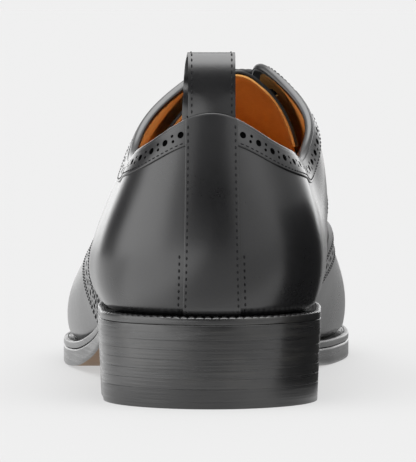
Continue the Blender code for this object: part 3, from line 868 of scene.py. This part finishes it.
def black_calf(name):
    """Smooth black calf, polished: fine pores, a soft haze of polish and slight waves in its face."""
    calf = Finish(name, Specular_IOR_Level=CALF_SPECULAR, Coat_Roughness=CALF_COAT_ROUGHNESS)
    grain = calf.noise(0.7, 3)
    pores = calf.pores(0.9)
    haze = calf.noise(26, 3)
    wave = calf.noise(13, 1)
    calf.give("Base Color", calf.tint((haze * 0.6 + grain * 0.4).ramp(0.35, 0.7), CALF_BLACK, CALF_GREY))
    calf.give("Roughness", 0.2 + 0.12 * haze + 0.08 * grain)
    calf.give("Coat Weight", 0.2 + 0.3 * haze)
    calf.relief(grain * 0.014 + pores * 0.007 + wave * 0.14)
    return calf


CALF = black_calf("black_calf_leather")
upper = leather_piece("vamp_leather", UPPER_GRID, upper_point, CALF, VAMP_THICK)
join_shoe(upper, "black_calf", "upper")
lining_thick = WALL - VAMP_THICK - LINING_GAP
lining = leather_piece("lining_leather", LINING_GRID, lining_point, LINING, lining_thick)
join_shoe(lining, "tan_lining")


# Tongue
# An arched strip of black calf with a tan lining, sewn under the vamp and rising between the
# facings.
TONGUE_TOP, TONGUE_FRONT = 98.0, 184.0
Sunk = namedtuple("Sunk", "along below")
TONGUE_BELOW = [
    Sunk(98, 4.8),
    Sunk(110, 5.2),
    Sunk(156, 5.2),
    Sunk(164, 0.6),
    Sunk(184, 0.3),
]
TONGUE_EASE = 3.0
TONGUE_CROWN_RADIUS = 9.0
TONGUE_LOW_SHARE = 0.66
TONGUE_OPEN_SHARE = 0.4
TONGUE_CALF = 1.0
TONGUE_LINING = 0.8
TONGUE_ROUND, TONGUE_LINING_ROUND = 0.3, 0.25
TONGUE_GRID = (64, 90)
tongue_depth = soft_curve(*zip(*TONGUE_BELOW), TONGUE_EASE, level=True)


def tongue_at(c, place, lower):
    """A point of the tongue: c runs across it, place along it, lower sinks it into its thickness."""
    below = -tongue_depth(place) - lower
    edges = [off_wall(place, side, 1.0, below) for side in (LATERAL, MEDIAL)]
    centre = (edges[0] + edges[1]) / 2
    half = np.linalg.norm(edges[1] - edges[0], axis=-1) / 2
    t = np.clip(np.abs(c) / TONGUE_OPEN_SHARE, 0, 1)
    crown = half * half / (2 * TONGUE_CROWN_RADIUS) * (1 - t * t)
    edge = np.where((c >= 0)[:, None], edges[1], edges[0])
    open_part = centre + (edge - centre) * t[:, None] + crown[:, None] * np.array((0, 0, 1.0))
    u = np.clip((np.abs(c) - TONGUE_OPEN_SHARE) / (1 - TONGUE_OPEN_SHARE), 0, 1)
    hidden = off_wall(place, side_of(c), between(1, TONGUE_LOW_SHARE, u), below)
    return np.where((np.abs(c) <= TONGUE_OPEN_SHARE)[:, None], open_part, hidden)


def tongue_point(lower):
    def point(c, r):
        return parts_of(tongue_at(c, between(TONGUE_TOP, TONGUE_FRONT, (r + 1) / 2), lower))

    return point


tongue = leather_piece("tongue_calf", TONGUE_GRID, tongue_point(0.0), CALF, TONGUE_CALF, TONGUE_ROUND)
join_shoe(tongue, "black_calf", "tongue")
tongue_lining = leather_piece(
    "tongue_lining", TONGUE_GRID, tongue_point(TONGUE_CALF), LINING, TONGUE_LINING, TONGUE_LINING_ROUND)
join_shoe(tongue_lining, "tan_lining")


# Wingtip cap
# The toe cap with its point on the ridge and two wings that run back along the sides. Its edge is
# punched in a brogue pattern between two double rows of stitches.
# A panel's cut edge: how far along the shoe it lies, by its share of the way up the wall.
CutLine = namedtuple("CutLine", "share along")
WING_EDGE = [
    CutLine(0.0, 112),
    CutLine(0.15, 119),
    CutLine(0.3, 134),
    CutLine(0.45, 154),
    CutLine(0.62, 181),
    CutLine(0.8, 214),
    CutLine(0.9, 214),
    CutLine(1.0, 198),
]
PANEL_FACE = 1.5
PANEL_THICK = 1.45
CUT_ROUND = 0.35
WING_GRID = (330, 60)
WING_EASE = 0.012
WING_SEAM = (0.03, 1.0)
BIG_HOLE, SMALL_HOLE = 1.15, 0.55
PUNCH_SIDES, PUNCH_DEPTH = 12, 3.0
BROGUE_PITCH = 6.2
PAIR_APART = 1.0
WING_STITCH_ROWS = (1.5, 3.0, 9.6, 11.1)
WING_HOLE_ROW = 6.3
STITCH_FROM_RIDGE, HOLE_FROM_RIDGE = 0.3, 0.9
PANEL_STITCH = (2.1, 1.55, 0.5)
EDGE_POINTS = 400
EDGE_STEP = 2.0
BEND_LIMIT = 0.93
RIDGE_FROM = 9
wing_edge = soft_curve(*zip(*WING_EDGE), WING_EASE, level=True)
RIDGE = read_ring(LAST, np.linspace(PLACES[RIDGE_FROM], LAST_CROSS, EDGE_POINTS), MEDIAL, 1.0)


def wing_point(c, r):
    share = foot_rows(r)
    back = wing_edge(share)
    place = between(PLACES[-1], back, np.abs(c))
    return parts_of(off_wall(place, side_of(c), share, PANEL_FACE))


def tree_of(piece):
    """A search tree of a piece's surface, in metres."""
    return BVHTree.FromPolygons(
        [vertex.co.copy() for vertex in piece.data.vertices],
        [face.vertices[:] for face in piece.data.polygons])


def on_surface(tree, points):
    """The nearest points of a piece's outer surface and its directions there."""
    placed, normals = [], []
    for point in points:
        location, normal, _, _ = tree.find_nearest(Vector(metres(point)))
        placed.append(np.array(location) / MM + (0, HEEL_CENTRE, 0))
        normals.append(normal)
    return np.array(placed), np.array(normals)


def beside(edge, normals, inwards, distance):
    """A line beside a cut edge, on the leather, without the stretches that the edge bends too near to."""
    tangent = unit(np.gradient(edge, axis=0))
    inner = unit(np.cross(normals, tangent))
    inner = inner * np.sign((inner * inwards).sum(axis=-1, keepdims=True))
    line = edge + inner * distance
    gaps = np.linalg.norm(line[:, None] - edge[None], axis=-1).min(axis=1)
    return line[gaps > distance * BEND_LIMIT]


def on_own_side(line, side, margin):
    """The part of a line that keeps a margin from the ridge in the middle of the vamp."""
    ridge_across = np.interp(line[:, 1], RIDGE[:, 1], RIDGE[:, 0])
    return line[side * (line[:, 0] - ridge_across) > margin]


def spaced(points, normals, pitch):
    """Points at an even pitch along a line, with their directions and the way the line runs."""
    lengths = lengths_along(points)
    count = int(lengths[-1] / pitch)
    at = (np.arange(count) + 0.5) * lengths[-1] / count
    ways = unit(np.gradient(points, axis=0))
    return [np.stack([np.interp(at, lengths, column) for column in field.T], axis=-1)
            for field in (points, normals, ways)]


def add_punch(shape, point, normal, radius, depth=PUNCH_DEPTH):
    """A round punch of a radius and depth in millimetres, square to the leather."""
    turn = Vector(normal).to_track_quat("Z", "Y").to_matrix().to_4x4()
    turn.translation = Vector(metres(point))
    bmesh.ops.create_cone(shape, cap_ends=True, segments=PUNCH_SIDES, radius1=radius * MM,
                          radius2=radius * MM, depth=depth * MM, matrix=turn)


def brogue_punches(shape, points, normals):
    """Large holes with a pair of small ones between each two, along a line."""
    for k, (point, normal, way) in enumerate(zip(*spaced(points, normals, BROGUE_PITCH / 2))):
        if k % 2 == 0:
            add_punch(shape, point, normal, BIG_HOLE)
        else:
            aside = unit(np.cross(normal, way)) * PAIR_APART
            for sign in (-1, 1):
                add_punch(shape, point + sign * aside, normal, SMALL_HOLE)


def punch(piece, punches):
    """Cuts a set of punches out of a piece."""
    mesh = bpy.data.meshes.new("punches")
    punches.to_mesh(mesh)
    punches.free()
    cutter = bpy.data.objects.new("punches", mesh)
    bpy.context.scene.collection.objects.link(cutter)
    cut = piece.modifiers.new("punched", "BOOLEAN")
    cut.operation = "DIFFERENCE"
    cut.solver = "EXACT"
    cut.object = cutter
    settle(piece)
    bpy.data.objects.remove(cutter)
    bpy.data.meshes.remove(mesh)


wing = leather_piece("wingtip_leather", WING_GRID, wing_point, CALF, PANEL_THICK, CUT_ROUND)
wing_tree = tree_of(wing)
wing_rows = []
punches = bmesh.new()
edge_shares = np.linspace(*WING_SEAM, EDGE_POINTS)
for side in (LATERAL, MEDIAL):
    back = wing_edge(edge_shares)
    edge = off_wall(back, side, edge_shares, PANEL_FACE)
    normals = read_ring(LAST_NORMALS, back, side, edge_shares)
    toward_toe = off_wall(back + EDGE_STEP, side, edge_shares, PANEL_FACE) - edge
    for distance in WING_STITCH_ROWS:
        line = on_own_side(beside(edge, normals, toward_toe, distance), side, STITCH_FROM_RIDGE)
        wing_rows.append(on_surface(wing_tree, line))
    line = on_own_side(beside(edge, normals, toward_toe, WING_HOLE_ROW), side, HOLE_FROM_RIDGE)
    brogue_punches(punches, *on_surface(wing_tree, line))
punch(wing, punches)
join_shoe(wing, "black_calf", "wingtip_cap")
lay_stitches("wingtip_stitches", wing_rows, *PANEL_STITCH)


# Quarters
# The two rear sides of black calf with the facings for the lace, sewn over the vamp in front. Their
# top edge is skived thin and folded over the topline and the facings' edges.
QUARTER_EDGE = [
    CutLine(0.0, 112),
    CutLine(0.3, 121),
    CutLine(0.6, 141),
    CutLine(0.85, 158),
    CutLine(1.0, 162),
]
SIDE_NAMES = {LATERAL: "lateral", MEDIAL: "medial"}
QUARTER_GRID = (190, 84)
QUARTER_EASE = 0.02
QUARTER_SEAM = (0.03, 0.985)
JUST_BELOW = 0.96
FOLD_START = 0.6
FOLD_HEIGHT = 0.8
FOLD_TURN = 0.65
FOLD_FACE = 0.95
FOLD_INSIDE = 2.4
SKIVED = 8.0
QUARTER_STITCH_ROWS = (1.6, 3.2)
FACING_STITCH = 1.9
FACING_SEAM = (92.0, 156.0)
LACE_ROWS = 5
LACE_TOP, LACE_BOTTOM = 115.0, 154.0
HOLE_FROM_EDGE = 8.0
LACE_HOLE, LACE_HOLE_DEPTH = 1.9, 9.0
LACE_PLACES = np.linspace(LACE_TOP, LACE_BOTTOM, LACE_ROWS)
quarter_edge = soft_curve(*zip(*QUARTER_EDGE), QUARTER_EASE, level=True)


def quarter_face(down):
    """How far a quarter's face stands out, where it is skived towards its folded edge."""
    return between(FOLD_FACE, PANEL_FACE, soft_step(down / SKIVED))


def top_edge(place, side):
    """The last's top edge at places, and the direction in which its wall rises there."""
    top = read_ring(LAST, place, side, 1.0)
    return top, unit(top - read_ring(LAST, place, side, JUST_BELOW))


def near_edge(place, side, down, out):
    """A point below the top edge, or above it where down is negative, that far out from the last."""
    share = share_down(place, side, np.maximum(down, 0))
    _, up = top_edge(place, side)
    return off_wall(place, side, share, out) + up * np.maximum(-np.asarray(down), 0)[..., None]


def quarter_point(side):
    def point(c, r):
        share = foot_rows((r + 1) / (FOLD_START + 1) * 2 - 1)
        place = between(PLACES[0], quarter_edge(share), (c * side + 1) / 2)
        wall = off_wall(place, side, share, quarter_face(read_ring(LAST_DOWN, place, side, share)))
        fold = np.clip((r - FOLD_START) / (1 - FOLD_START), 0, 1)
        turn = np.clip(fold / FOLD_TURN, 0, 1) * math.pi
        inside = np.clip((fold - FOLD_TURN) / (1 - FOLD_TURN), 0, 1) * FOLD_INSIDE
        radius = (FOLD_FACE + WALL) / 2
        top, up = top_edge(place, side)
        over = radius * np.cos(turn) + (FOLD_FACE - WALL) / 2
        rise = radius * FOLD_HEIGHT * np.sin(turn) - inside
        folded = top + read_ring(LAST_NORMALS, place, side, 1.0) * over[:, None] + up * rise[:, None]
        return parts_of(np.where((r > FOLD_START)[:, None], folded, wall))

    return point


for side, name in SIDE_NAMES.items():
    quarter = leather_piece(
        f"quarter_leather_{name}", QUARTER_GRID, quarter_point(side), CALF, PANEL_THICK, CUT_ROUND)
    for layer in (quarter, upper, lining):
        punches = bmesh.new()
        for place in LACE_PLACES:
            share = share_down(place, side, HOLE_FROM_EDGE)
            normal = read_ring(LAST_NORMALS, place, side, share)
            add_punch(punches, off_wall(place, side, share, 0.0), normal, LACE_HOLE, LACE_HOLE_DEPTH)
        punch(layer, punches)
    join_shoe(quarter, "black_calf", f"quarter_{name}")

    tree = tree_of(quarter)
    shares = np.linspace(*QUARTER_SEAM, EDGE_POINTS)
    front = quarter_edge(shares)
    edge = off_wall(front, side, shares, PANEL_FACE)
    normals = read_ring(LAST_NORMALS, front, side, shares)
    backward = off_wall(front - EDGE_STEP, side, shares, PANEL_FACE) - edge
    rows = [on_surface(tree, beside(edge, normals, backward, distance)) for distance in QUARTER_STITCH_ROWS]
    facing = np.linspace(*FACING_SEAM, EDGE_POINTS)
    facing_line = near_edge(facing, side, np.full(EDGE_POINTS, FACING_STITCH), quarter_face(FACING_STITCH))
    rows.append(on_surface(tree, facing_line))
    lay_stitches(f"quarter_stitches_{name}", rows, *PANEL_STITCH)


# Collar bands
# Strips sewn along the topline from the back strap to the facings, punched in a brogue row above
# a row of stitches along their lower edge.
BAND_WIDTH = 8.4
BAND_FRONT = 91.0
BAND_TOP = 0.7
BAND_THICK, BAND_ROUND = 0.8, 0.25
BAND_OVER_TOP, BAND_OVER, BAND_SWELL = 0.3, 0.5, 1.6
BAND_UNDER_STRAP, BAND_SEAM_FROM, BAND_SEAM_END = 1.0, 0.5, 1.0
BAND_GRID, BACKING_GRID = (130, 18), (130, 2)
STAY_HALF_TOP, STAY_HALF_BOTTOM = 7.2, 8.5
BAND_HOLE_ROW = 4.2
BAND_STITCH_ROWS = (7.4,)
BAND_STITCH = (1.9, 1.4, 0.48)
BACKING_HALF, BACKING_ABOVE = 2.4, 0.06
BACK_STEPS = 120


def place_across(share, across):
    """The place near the heel's back whose wall stands that far from the centre line."""
    share, across = np.broadcast_arrays(share, across)
    places = np.linspace(PLACES[0], FIRST_CROSS, BACK_STEPS)
    found = np.empty(share.size)
    for k, (s, a) in enumerate(zip(share.flat, across.flat)):
        found[k] = np.interp(a, read_ring(LAST, places, MEDIAL, s)[:, 0], places)
    return found.reshape(share.shape)


def band_face(down):
    """How far a band's face stands out: over the quarter, thinner towards the topline."""
    return quarter_face(down) + between(BAND_OVER_TOP, BAND_OVER, soft_step(down / BAND_WIDTH * BAND_SWELL))


def band_point(side):
    back = float(place_across(1.0, STAY_HALF_TOP - BAND_UNDER_STRAP))

    def point(c, r):
        place = between(back, BAND_FRONT, (c * side + 1) / 2)
        down = between(BAND_WIDTH, BAND_TOP, (r + 1) / 2)
        return parts_of(near_edge(place, side, down, band_face(down)))

    return point


def backing_point(side):
    back = float(place_across(1.0, STAY_HALF_TOP))

    def point(c, r):
        place = between(back, BAND_FRONT - BAND_SEAM_END, (c * side + 1) / 2)
        down = BAND_HOLE_ROW + BACKING_HALF * r
        return parts_of(near_edge(place, side, down, quarter_face(down) + BACKING_ABOVE))

    return point


def hole_shade_backing(name):
    """Painted shade: a dull black sheet behind the punched leather, so that its holes look dark."""
    cloth = Finish(name, Specular_IOR_Level=0.0, Base_Color=(0.002, 0.002, 0.002, 1))
    cloth.give("Roughness", 0.85 + 0.15 * cloth.noise(0.4, 2))
    return cloth


def band_line(tree, side, down):
    """A line along a band, that far below the topline, on its leather."""
    start = float(place_across(1.0, STAY_HALF_TOP)) + BAND_SEAM_FROM
    places = np.linspace(start, BAND_FRONT - BAND_SEAM_END, EDGE_POINTS)
    downs = np.full(EDGE_POINTS, down)
    return on_surface(tree, near_edge(places, side, downs, band_face(downs)))


# The backing behind each band is painted shade that darkens the bottoms of its holes.
HOLE_SHADE = hole_shade_backing("hole_shade_backing")
for side, name in SIDE_NAMES.items():
    shape = bent_sheet(*BACKING_GRID, backing_point(side))
    face_outwards(shape)
    backing = add_piece(f"collar_hole_shade_{name}", shape, HOLE_SHADE)
    settle(backing)
    join_shoe(backing, "black_calf")
    band = leather_piece(
        f"collar_band_leather_{name}", BAND_GRID, band_point(side), CALF, BAND_THICK, BAND_ROUND)
    tree = tree_of(band)
    rows = [band_line(tree, side, down) for down in BAND_STITCH_ROWS]
    punches = bmesh.new()
    brogue_punches(punches, *band_line(tree, side, BAND_HOLE_ROW))
    punch(band, punches)
    join_shoe(band, "black_calf", f"collar_band_{name}")
    lay_stitches(f"collar_stitches_{name}", rows, *BAND_STITCH)


# Back strap
# A strip of calf over the seam at the heel's back, wider towards the sole, sewn down both edges. On
# its lower third a second row of stitches holds the stiffener beside it.
STRAP_FACE = 2.9
STRAP_THICK = 1.3
STRAP_GRID = (40, 110)
STRAP_ABOVE, STRAP_ARCH = -0.1, 0.5
STRAP_STITCH = (2.2, 1.25, 0.7)
STRAP_STITCH_INSET = 0.75
OUTER_STITCH_OUT, OUTER_STITCH_ABOVE = 1.7, 0.05
STRAP_SEAM, OUTER_SEAM = (0.02, 0.985), (0.02, 0.34)


def stay_half(share):
    return between(STAY_HALF_BOTTOM, STAY_HALF_TOP, share)


def strap_point(c, r):
    share = foot_rows(r)
    place = place_across(share, np.abs(c) * stay_half(share))
    side = side_of(c)
    down = read_ring(LAST_DOWN, place, side, share)
    _, up = top_edge(place, side)
    arch = (STRAP_ABOVE + STRAP_ARCH * (1 - c * c)) * soft_step(1 - down / SKIVED)
    return parts_of(off_wall(place, side, share, STRAP_FACE) + up * arch[:, None])


strap = leather_piece("back_strap_leather", STRAP_GRID, strap_point, CALF, STRAP_THICK, CUT_ROUND)
join_shoe(strap, "black_calf", "back_strap")

strap_tree = tree_of(strap)
strap_rows, outer_rows = [], []
for side in (LATERAL, MEDIAL):
    shares = np.linspace(*STRAP_SEAM, EDGE_POINTS)
    places = place_across(shares, stay_half(shares) - STRAP_STITCH_INSET)
    strap_rows.append(on_surface(strap_tree, off_wall(places, side, shares, STRAP_FACE)))
    shares = np.linspace(*OUTER_SEAM, EDGE_POINTS)
    places = place_across(shares, stay_half(shares) + OUTER_STITCH_OUT)
    normals = read_ring(LAST_NORMALS, places, side, shares)
    outer_rows.append((off_wall(places, side, shares, PANEL_FACE + OUTER_STITCH_ABOVE), normals))
lay_stitches("back_strap_stitches", strap_rows + outer_rows, *STRAP_STITCH)


# Pull loop
# A folded strip of calf that carries the strap over the topline: its base is sewn behind the strap's
# top edge, and its inner leg is sewn inside the collar.
# The loop seen from the side, from its base over the top to the end of its inner leg.
LoopPoint = namedtuple("LoopPoint", "out up")
LOOP_PATH = [
    LoopPoint(0.9, -3.0),
    LoopPoint(1.4, 1.5),
    LoopPoint(1.35, 5.0),
    LoopPoint(1.05, 9.0),
    LoopPoint(0.55, 12.4),
    LoopPoint(-0.5, 16.0),
    LoopPoint(-2.0, 18.6),
    LoopPoint(-4.0, 20.2),
    LoopPoint(-6.2, 19.2),
    LoopPoint(-7.6, 16.2),
    LoopPoint(-7.8, 11.6),
    LoopPoint(-6.2, 7.0),
    LoopPoint(-4.2, 2.0),
    LoopPoint(-3.5, -12.0),
]
LOOP_HALF = 7.5
LOOP_SKEW, LOOP_SKEW_FROM, LOOP_SKEW_OVER = -1.5, 6.0, 5.0
LOOP_EASE = 0.25
LOOP_SEAM = (0.6, 12.4)
LOOP_FLAT_FROM = 8.0
LOOP_THICK = 1.5
LOOP_GRID = (28, 120)
LOOP_STITCH = (2.1, 1.3, 0.6)
LOOP_STITCH_INSET = 1.15
loop_steps = range(len(LOOP_PATH))
loop_out = soft_curve(loop_steps, [point.out for point in LOOP_PATH], LOOP_EASE, level=True)
loop_up = soft_curve(loop_steps, [point.up for point in LOOP_PATH], LOOP_EASE, level=True)


def loop_at(across, step):
    """A point of the loop: across its width, and a step along its path; its inner leg stands askew."""
    across = across + LOOP_SKEW * soft_step((step - LOOP_SKEW_FROM) / LOOP_SKEW_OVER)
    side = side_of(across)
    place = place_across(1.0, np.abs(across))
    top = read_ring(LAST, place, side, 1.0)
    up, out = loop_up(step), loop_out(step)
    flat = read_ring(LAST, PLACES[0], MEDIAL, 1.0) + across[:, None] * (1.0, 0, 0)
    top = between(top, flat, soft_step(up / LOOP_FLAT_FROM)[:, None])
    inner = top + out[:, None] * (0, -1.0, 0) + np.maximum(up, 0)[:, None] * (0, 0, 1.0)
    sunk = near_edge(place, side, np.maximum(-up, 0), out)
    return np.where((up < 0)[:, None], sunk, inner)


def loop_point(c, r):
    return parts_of(loop_at(c * LOOP_HALF, (r + 1) / 2 * (len(LOOP_PATH) - 1)))


shape = bent_sheet(*LOOP_GRID, loop_point)
bmesh.ops.recalc_face_normals(shape, faces=shape.faces)
highest = max(shape.faces, key=lambda face: face.calc_center_median().z)
if highest.normal.z < 0:
    bmesh.ops.reverse_faces(shape, faces=shape.faces)
loop = add_piece("pull_loop_leather", shape, CALF)
give_thickness(loop, LOOP_THICK, CUT_ROUND)
settle(loop)
join_shoe(loop, "black_calf", "pull_loop")

loop_tree = tree_of(loop)
loop_rows = []
for sign in (-1, 1):
    steps = np.linspace(*LOOP_SEAM, EDGE_POINTS)
    line = loop_at(np.full(EDGE_POINTS, sign * (LOOP_HALF - LOOP_STITCH_INSET)), steps)
    loop_rows.append(on_surface(loop_tree, line))
lay_stitches("pull_loop_stitches", loop_rows, *LOOP_STITCH)


# Lace
# One round waxed cotton lace in straight bars: it passes through the punched holes and on to the
# next row inside, and its ends stop under the top holes.
LACE_RADIUS = 1.15
LACE_ROUND = 14
LACE_STEP = 0.35
BRAID_PITCH = 2.4
BRAID_DEPTH = 0.07
LACE_ABOVE = PANEL_FACE + LACE_RADIUS - 0.1
LACE_BELOW = -WALL - LACE_RADIUS - 0.3
LACE_BELOW_RUN = LACE_BELOW - 0.35
# Half a bar, from under its hole to the facing's edge: its share of that way, and how far out it lies.
LacePoint = namedtuple("LacePoint", "toward_edge out")
LACE_LEG = [
    LacePoint(0.0, LACE_BELOW),
    LacePoint(0.0, -0.6),
    LacePoint(0.12, LACE_ABOVE * 0.8),
    LacePoint(0.4, LACE_ABOVE),
    LacePoint(0.75, LACE_ABOVE - 0.1),
    LacePoint(1.0, LACE_ABOVE - 0.8),
]


def lace_route():
    """The lace's middle line in millimetres: across on the outside, then through a hole and inside."""
    route = []
    for row, place in enumerate(LACE_PLACES):
        start = LATERAL if row % 2 == 0 else MEDIAL
        for side, order in ((start, 1), (-start, -1)):
            hole = float(share_down(place, side, HOLE_FROM_EDGE))
            route += [off_wall(place, side, between(hole, 1, point.toward_edge), point.out)
                      for point in LACE_LEG[::order]]
    for place in LACE_PLACES[::-1]:
        hole = float(share_down(place, -start, HOLE_FROM_EDGE))
        route.append(off_wall(place, -start, (hole + 1) / 2, LACE_BELOW_RUN))
    return np.array(route)


def through(points, step):
    """A smooth line through points, at an even step."""
    lengths = lengths_along(points)
    at = np.arange(0, lengths[-1], step)
    spans = np.diff(lengths)[:, None]
    rates = np.diff(points, axis=0) / spans
    inner = (rates[:-1] * spans[1:] + rates[1:] * spans[:-1]) / (spans[:-1] + spans[1:])
    slopes = np.concatenate([rates[:1], inner, rates[-1:]])
    i = np.clip(np.searchsorted(lengths, at, side="right") - 1, 0, len(spans) - 1)
    t = ((at - lengths[i]) / spans[i, 0])[:, None]
    rise = (3 - 2 * t) * t * t
    bend = (slopes[i] * (1 - t) ** 2 * t + slopes[i + 1] * (t - 1) * t * t) * spans[i]
    return points[i] * (1 - rise) + points[i + 1] * rise + bend


LACE_LINE = through(lace_route(), LACE_STEP)
LACE_WAY = unit(np.gradient(LACE_LINE, axis=0))
LACE_SIDE = np.empty_like(LACE_WAY)
carried = np.array((0.0, 0.0, 1.0))
for k, way in enumerate(LACE_WAY):
    carried = carried - way * carried.dot(way)
    carried = carried / np.linalg.norm(carried)
    LACE_SIDE[k] = carried


def lace_point(c, r):
    k = np.round((r + 1) / 2 * (len(LACE_LINE) - 1)).astype(int)
    turn = (c + 1) * math.pi
    strands = np.sin(turn * 4 + k * LACE_STEP / BRAID_PITCH * math.tau)
    strands = np.maximum(strands, np.sin(turn * 4 - k * LACE_STEP / BRAID_PITCH * math.tau))
    radius = (LACE_RADIUS + BRAID_DEPTH * (strands - 0.5))[:, None]
    other = np.cross(LACE_WAY, LACE_SIDE)[k]
    ring = LACE_SIDE[k] * np.cos(turn)[:, None] + other * np.sin(turn)[:, None]
    return parts_of(LACE_LINE[k] + ring * radius)


def waxed_cotton(name):
    """Tightly braided black cotton with a thin coat of wax."""
    lace = Finish(name, Specular_IOR_Level=0.4, Base_Color=(0.012, 0.012, 0.013, 1))
    fibre = lace.noise(0.25, 3)
    lace.give("Roughness", 0.45 + 0.3 * fibre)
    lace.relief(fibre * 0.05)
    return lace


shape = bent_sheet(LACE_ROUND, len(LACE_LINE) - 1, lace_point)
rims = [edge for edge in shape.edges if edge.is_boundary]
bmesh.ops.holes_fill(shape, edges=rims, sides=0)
bmesh.ops.recalc_face_normals(shape, faces=shape.faces)
lace = add_piece("lace_cord", shape, waxed_cotton("waxed_cotton"))
settle(lace)
join_shoe(lace, "waxed_lace", "lace")


# Floor and light
# A plain white studio: a wide pale floor, and soft light from the left, above, in front and, weaker, the
# right. For reflections alone the floor is brighter on the left and darker behind the heel and on the
# right, where a small black flag stands too.
FLOOR_RADIUS, FLOOR_SIDES = 90.0, 96
FLOOR_WHITE = 0.184
FLOOR_GLOW = 0.5
FLOOR_LEFT, FLOOR_LEFT_GLOW = (0.05, 0.11), 0.8
FLOOR_BEHIND = (-0.020, 0.040)
FLOOR_FRONT, FLOOR_FRONT_SHADE = (0.07, 0.13), 0.45
FLOOR_RIGHT, FLOOR_RIGHT_SHADE = (0.040, 0.055), 0.95
FLOOR_BESIDE = (-0.050, -0.036)
FLOOR_AHEAD, FLOOR_AHEAD_LIGHT = (0.110, 0.170), 0.45
ROOM = 0.66
# Each light fades from its core to its edge, and a power below zero is a dark patch of the room.
SoftLight = namedtuple("SoftLight", "direction edge core power")
SOFT_LIGHTS = [
    SoftLight((0.0, 1.0, 0.1), 0.80, 0.97, 1.3),
    SoftLight((-0.98, -0.12, 0.06), 0.78, 0.93, 1.35),
    SoftLight((0.0, -0.2, 1.0), 0.70, 0.90, 3.6),
    SoftLight((0.75, -0.2, 0.62), 0.82, 0.97, 0.4),
    SoftLight((0.0, -1.0, 0.1), 0.84, 0.96, -0.6),
    SoftLight((0.0, -1.0, 0.4), 0.84, 0.96, -0.4),
    SoftLight((-0.77, 0.63, 0.1), 0.86, 0.97, -0.55),
    SoftLight((0.9, 0.35, 0.1), 0.80, 0.95, -0.3),
]
BACKDROP = 0.87
FLAG_ACROSS = 0.075
FLAG_ALONG = (-0.036, 0.175)
FLAG_HEIGHT = (0.0005, 0.075)
FLAG_BOW = 0.006
FLAG_LOW, FLAG_FALLS_FROM, FLAG_FALLS_OVER = 0.1, 0.4, 0.5
FLAG_STEPS = 8
DARKEST = 0.03

shape = bmesh.new()
bmesh.ops.create_circle(shape, cap_ends=True, segments=FLOOR_SIDES, radius=FLOOR_RADIUS)
floor_paint = Finish("floor_paint", Roughness=0.8, Specular_IOR_Level=0.0, Emission_Strength=1.0)
across, along = (
    floor_paint.node("ShaderNodeSeparateXYZ", {}, {"Vector": floor_paint.places()}, axis) for axis in "XY")
left = (-1 * across).ramp(*FLOOR_LEFT) * (1 - along.ramp(*FLOOR_BEHIND))
front = (-1 * along).ramp(*FLOOR_FRONT) * (1 - left)
right = across.ramp(*FLOOR_RIGHT) * along.ramp(*FLOOR_BESIDE)
right = right * (1 - FLOOR_AHEAD_LIGHT * along.ramp(*FLOOR_AHEAD))
mirrored = floor_paint.node("ShaderNodeLightPath", {}, {}, "Is Glossy Ray")
dimmed = 1 - mirrored * (FLOOR_FRONT_SHADE * front + FLOOR_RIGHT_SHADE * right)
floor_paint.give("Base Color", FLOOR_WHITE * dimmed)
floor_paint.give("Emission Color", FLOOR_GLOW * dimmed + mirrored * left * FLOOR_LEFT_GLOW)
floor = add_piece("floor", shape, floor_paint)

shape = bmesh.new()
bmesh.ops.create_grid(shape, x_segments=FLAG_STEPS, y_segments=FLAG_STEPS, size=1)
for vertex in shape.verts:
    forward, up = (vertex.co.x + 1) / 2, (vertex.co.y + 1) / 2
    bow = FLAG_BOW * (2 * forward - 1) ** 2
    tall = between(1.0, FLAG_LOW, soft_step((forward - FLAG_FALLS_FROM) / FLAG_FALLS_OVER))
    vertex.co = (FLAG_ACROSS + bow, between(*FLAG_ALONG, forward), between(*FLAG_HEIGHT, up * tall))
flag_cloth = Finish("flag_cloth", Base_Color=(0.05, 0.05, 0.05, 1), Roughness=0.9, Specular_IOR_Level=0.0)
flag = add_piece("flag", shape, flag_cloth)
flag.visible_camera = False
flag.visible_diffuse = False
flag.visible_shadow = False

world = bpy.data.worlds.new("studio")
bpy.context.scene.world = world
world.use_nodes = True
studio = Nodes(world.node_tree)
background = studio.tree.nodes["Background"]
spots = studio.node("ShaderNodeTexCoord", {}, {}, "Generated")
glow = ROOM
for direction, edge, core, power in SOFT_LIGHTS:
    toward = studio.node("ShaderNodeVectorMath", {"operation": "DOT_PRODUCT"},
                         {0: spots, 1: Vector(direction).normalized()}, "Value")
    glow = glow + power * toward.ramp(edge, core)
seen = studio.node("ShaderNodeLightPath", {}, {}, "Is Camera Ray")
glow = glow.math("MAXIMUM", glow, DARKEST)
studio.feed(background.inputs["Strength"], glow * (1 - seen) + BACKDROP * seen)
background.inputs["Color"].default_value = (1, 1, 1, 1)
bpy.context.scene.view_settings.view_transform = "Standard"


# Camera
# A long lens that stands behind the heel and a little above it, at the photograph's angle, and holds
# the whole shoe.
CAMERA_AT = Vector((-0.0103, -1.439, 0.128))
CAMERA_AIM = Vector((-0.001, 0.0, 0.0546))
CAMERA_LENS, CAMERA_SENSOR, CAMERA_REACH = 347, 36, 400
camera = bpy.data.objects.new("camera", bpy.data.cameras.new("camera"))
camera.data.lens = CAMERA_LENS
camera.data.sensor_width = CAMERA_SENSOR
camera.data.clip_end = CAMERA_REACH
camera.location = CAMERA_AT
camera.rotation_euler = (CAMERA_AIM - CAMERA_AT).to_track_quat("-Z", "Y").to_euler()
bpy.context.scene.collection.objects.link(camera)
bpy.context.scene.camera = camera
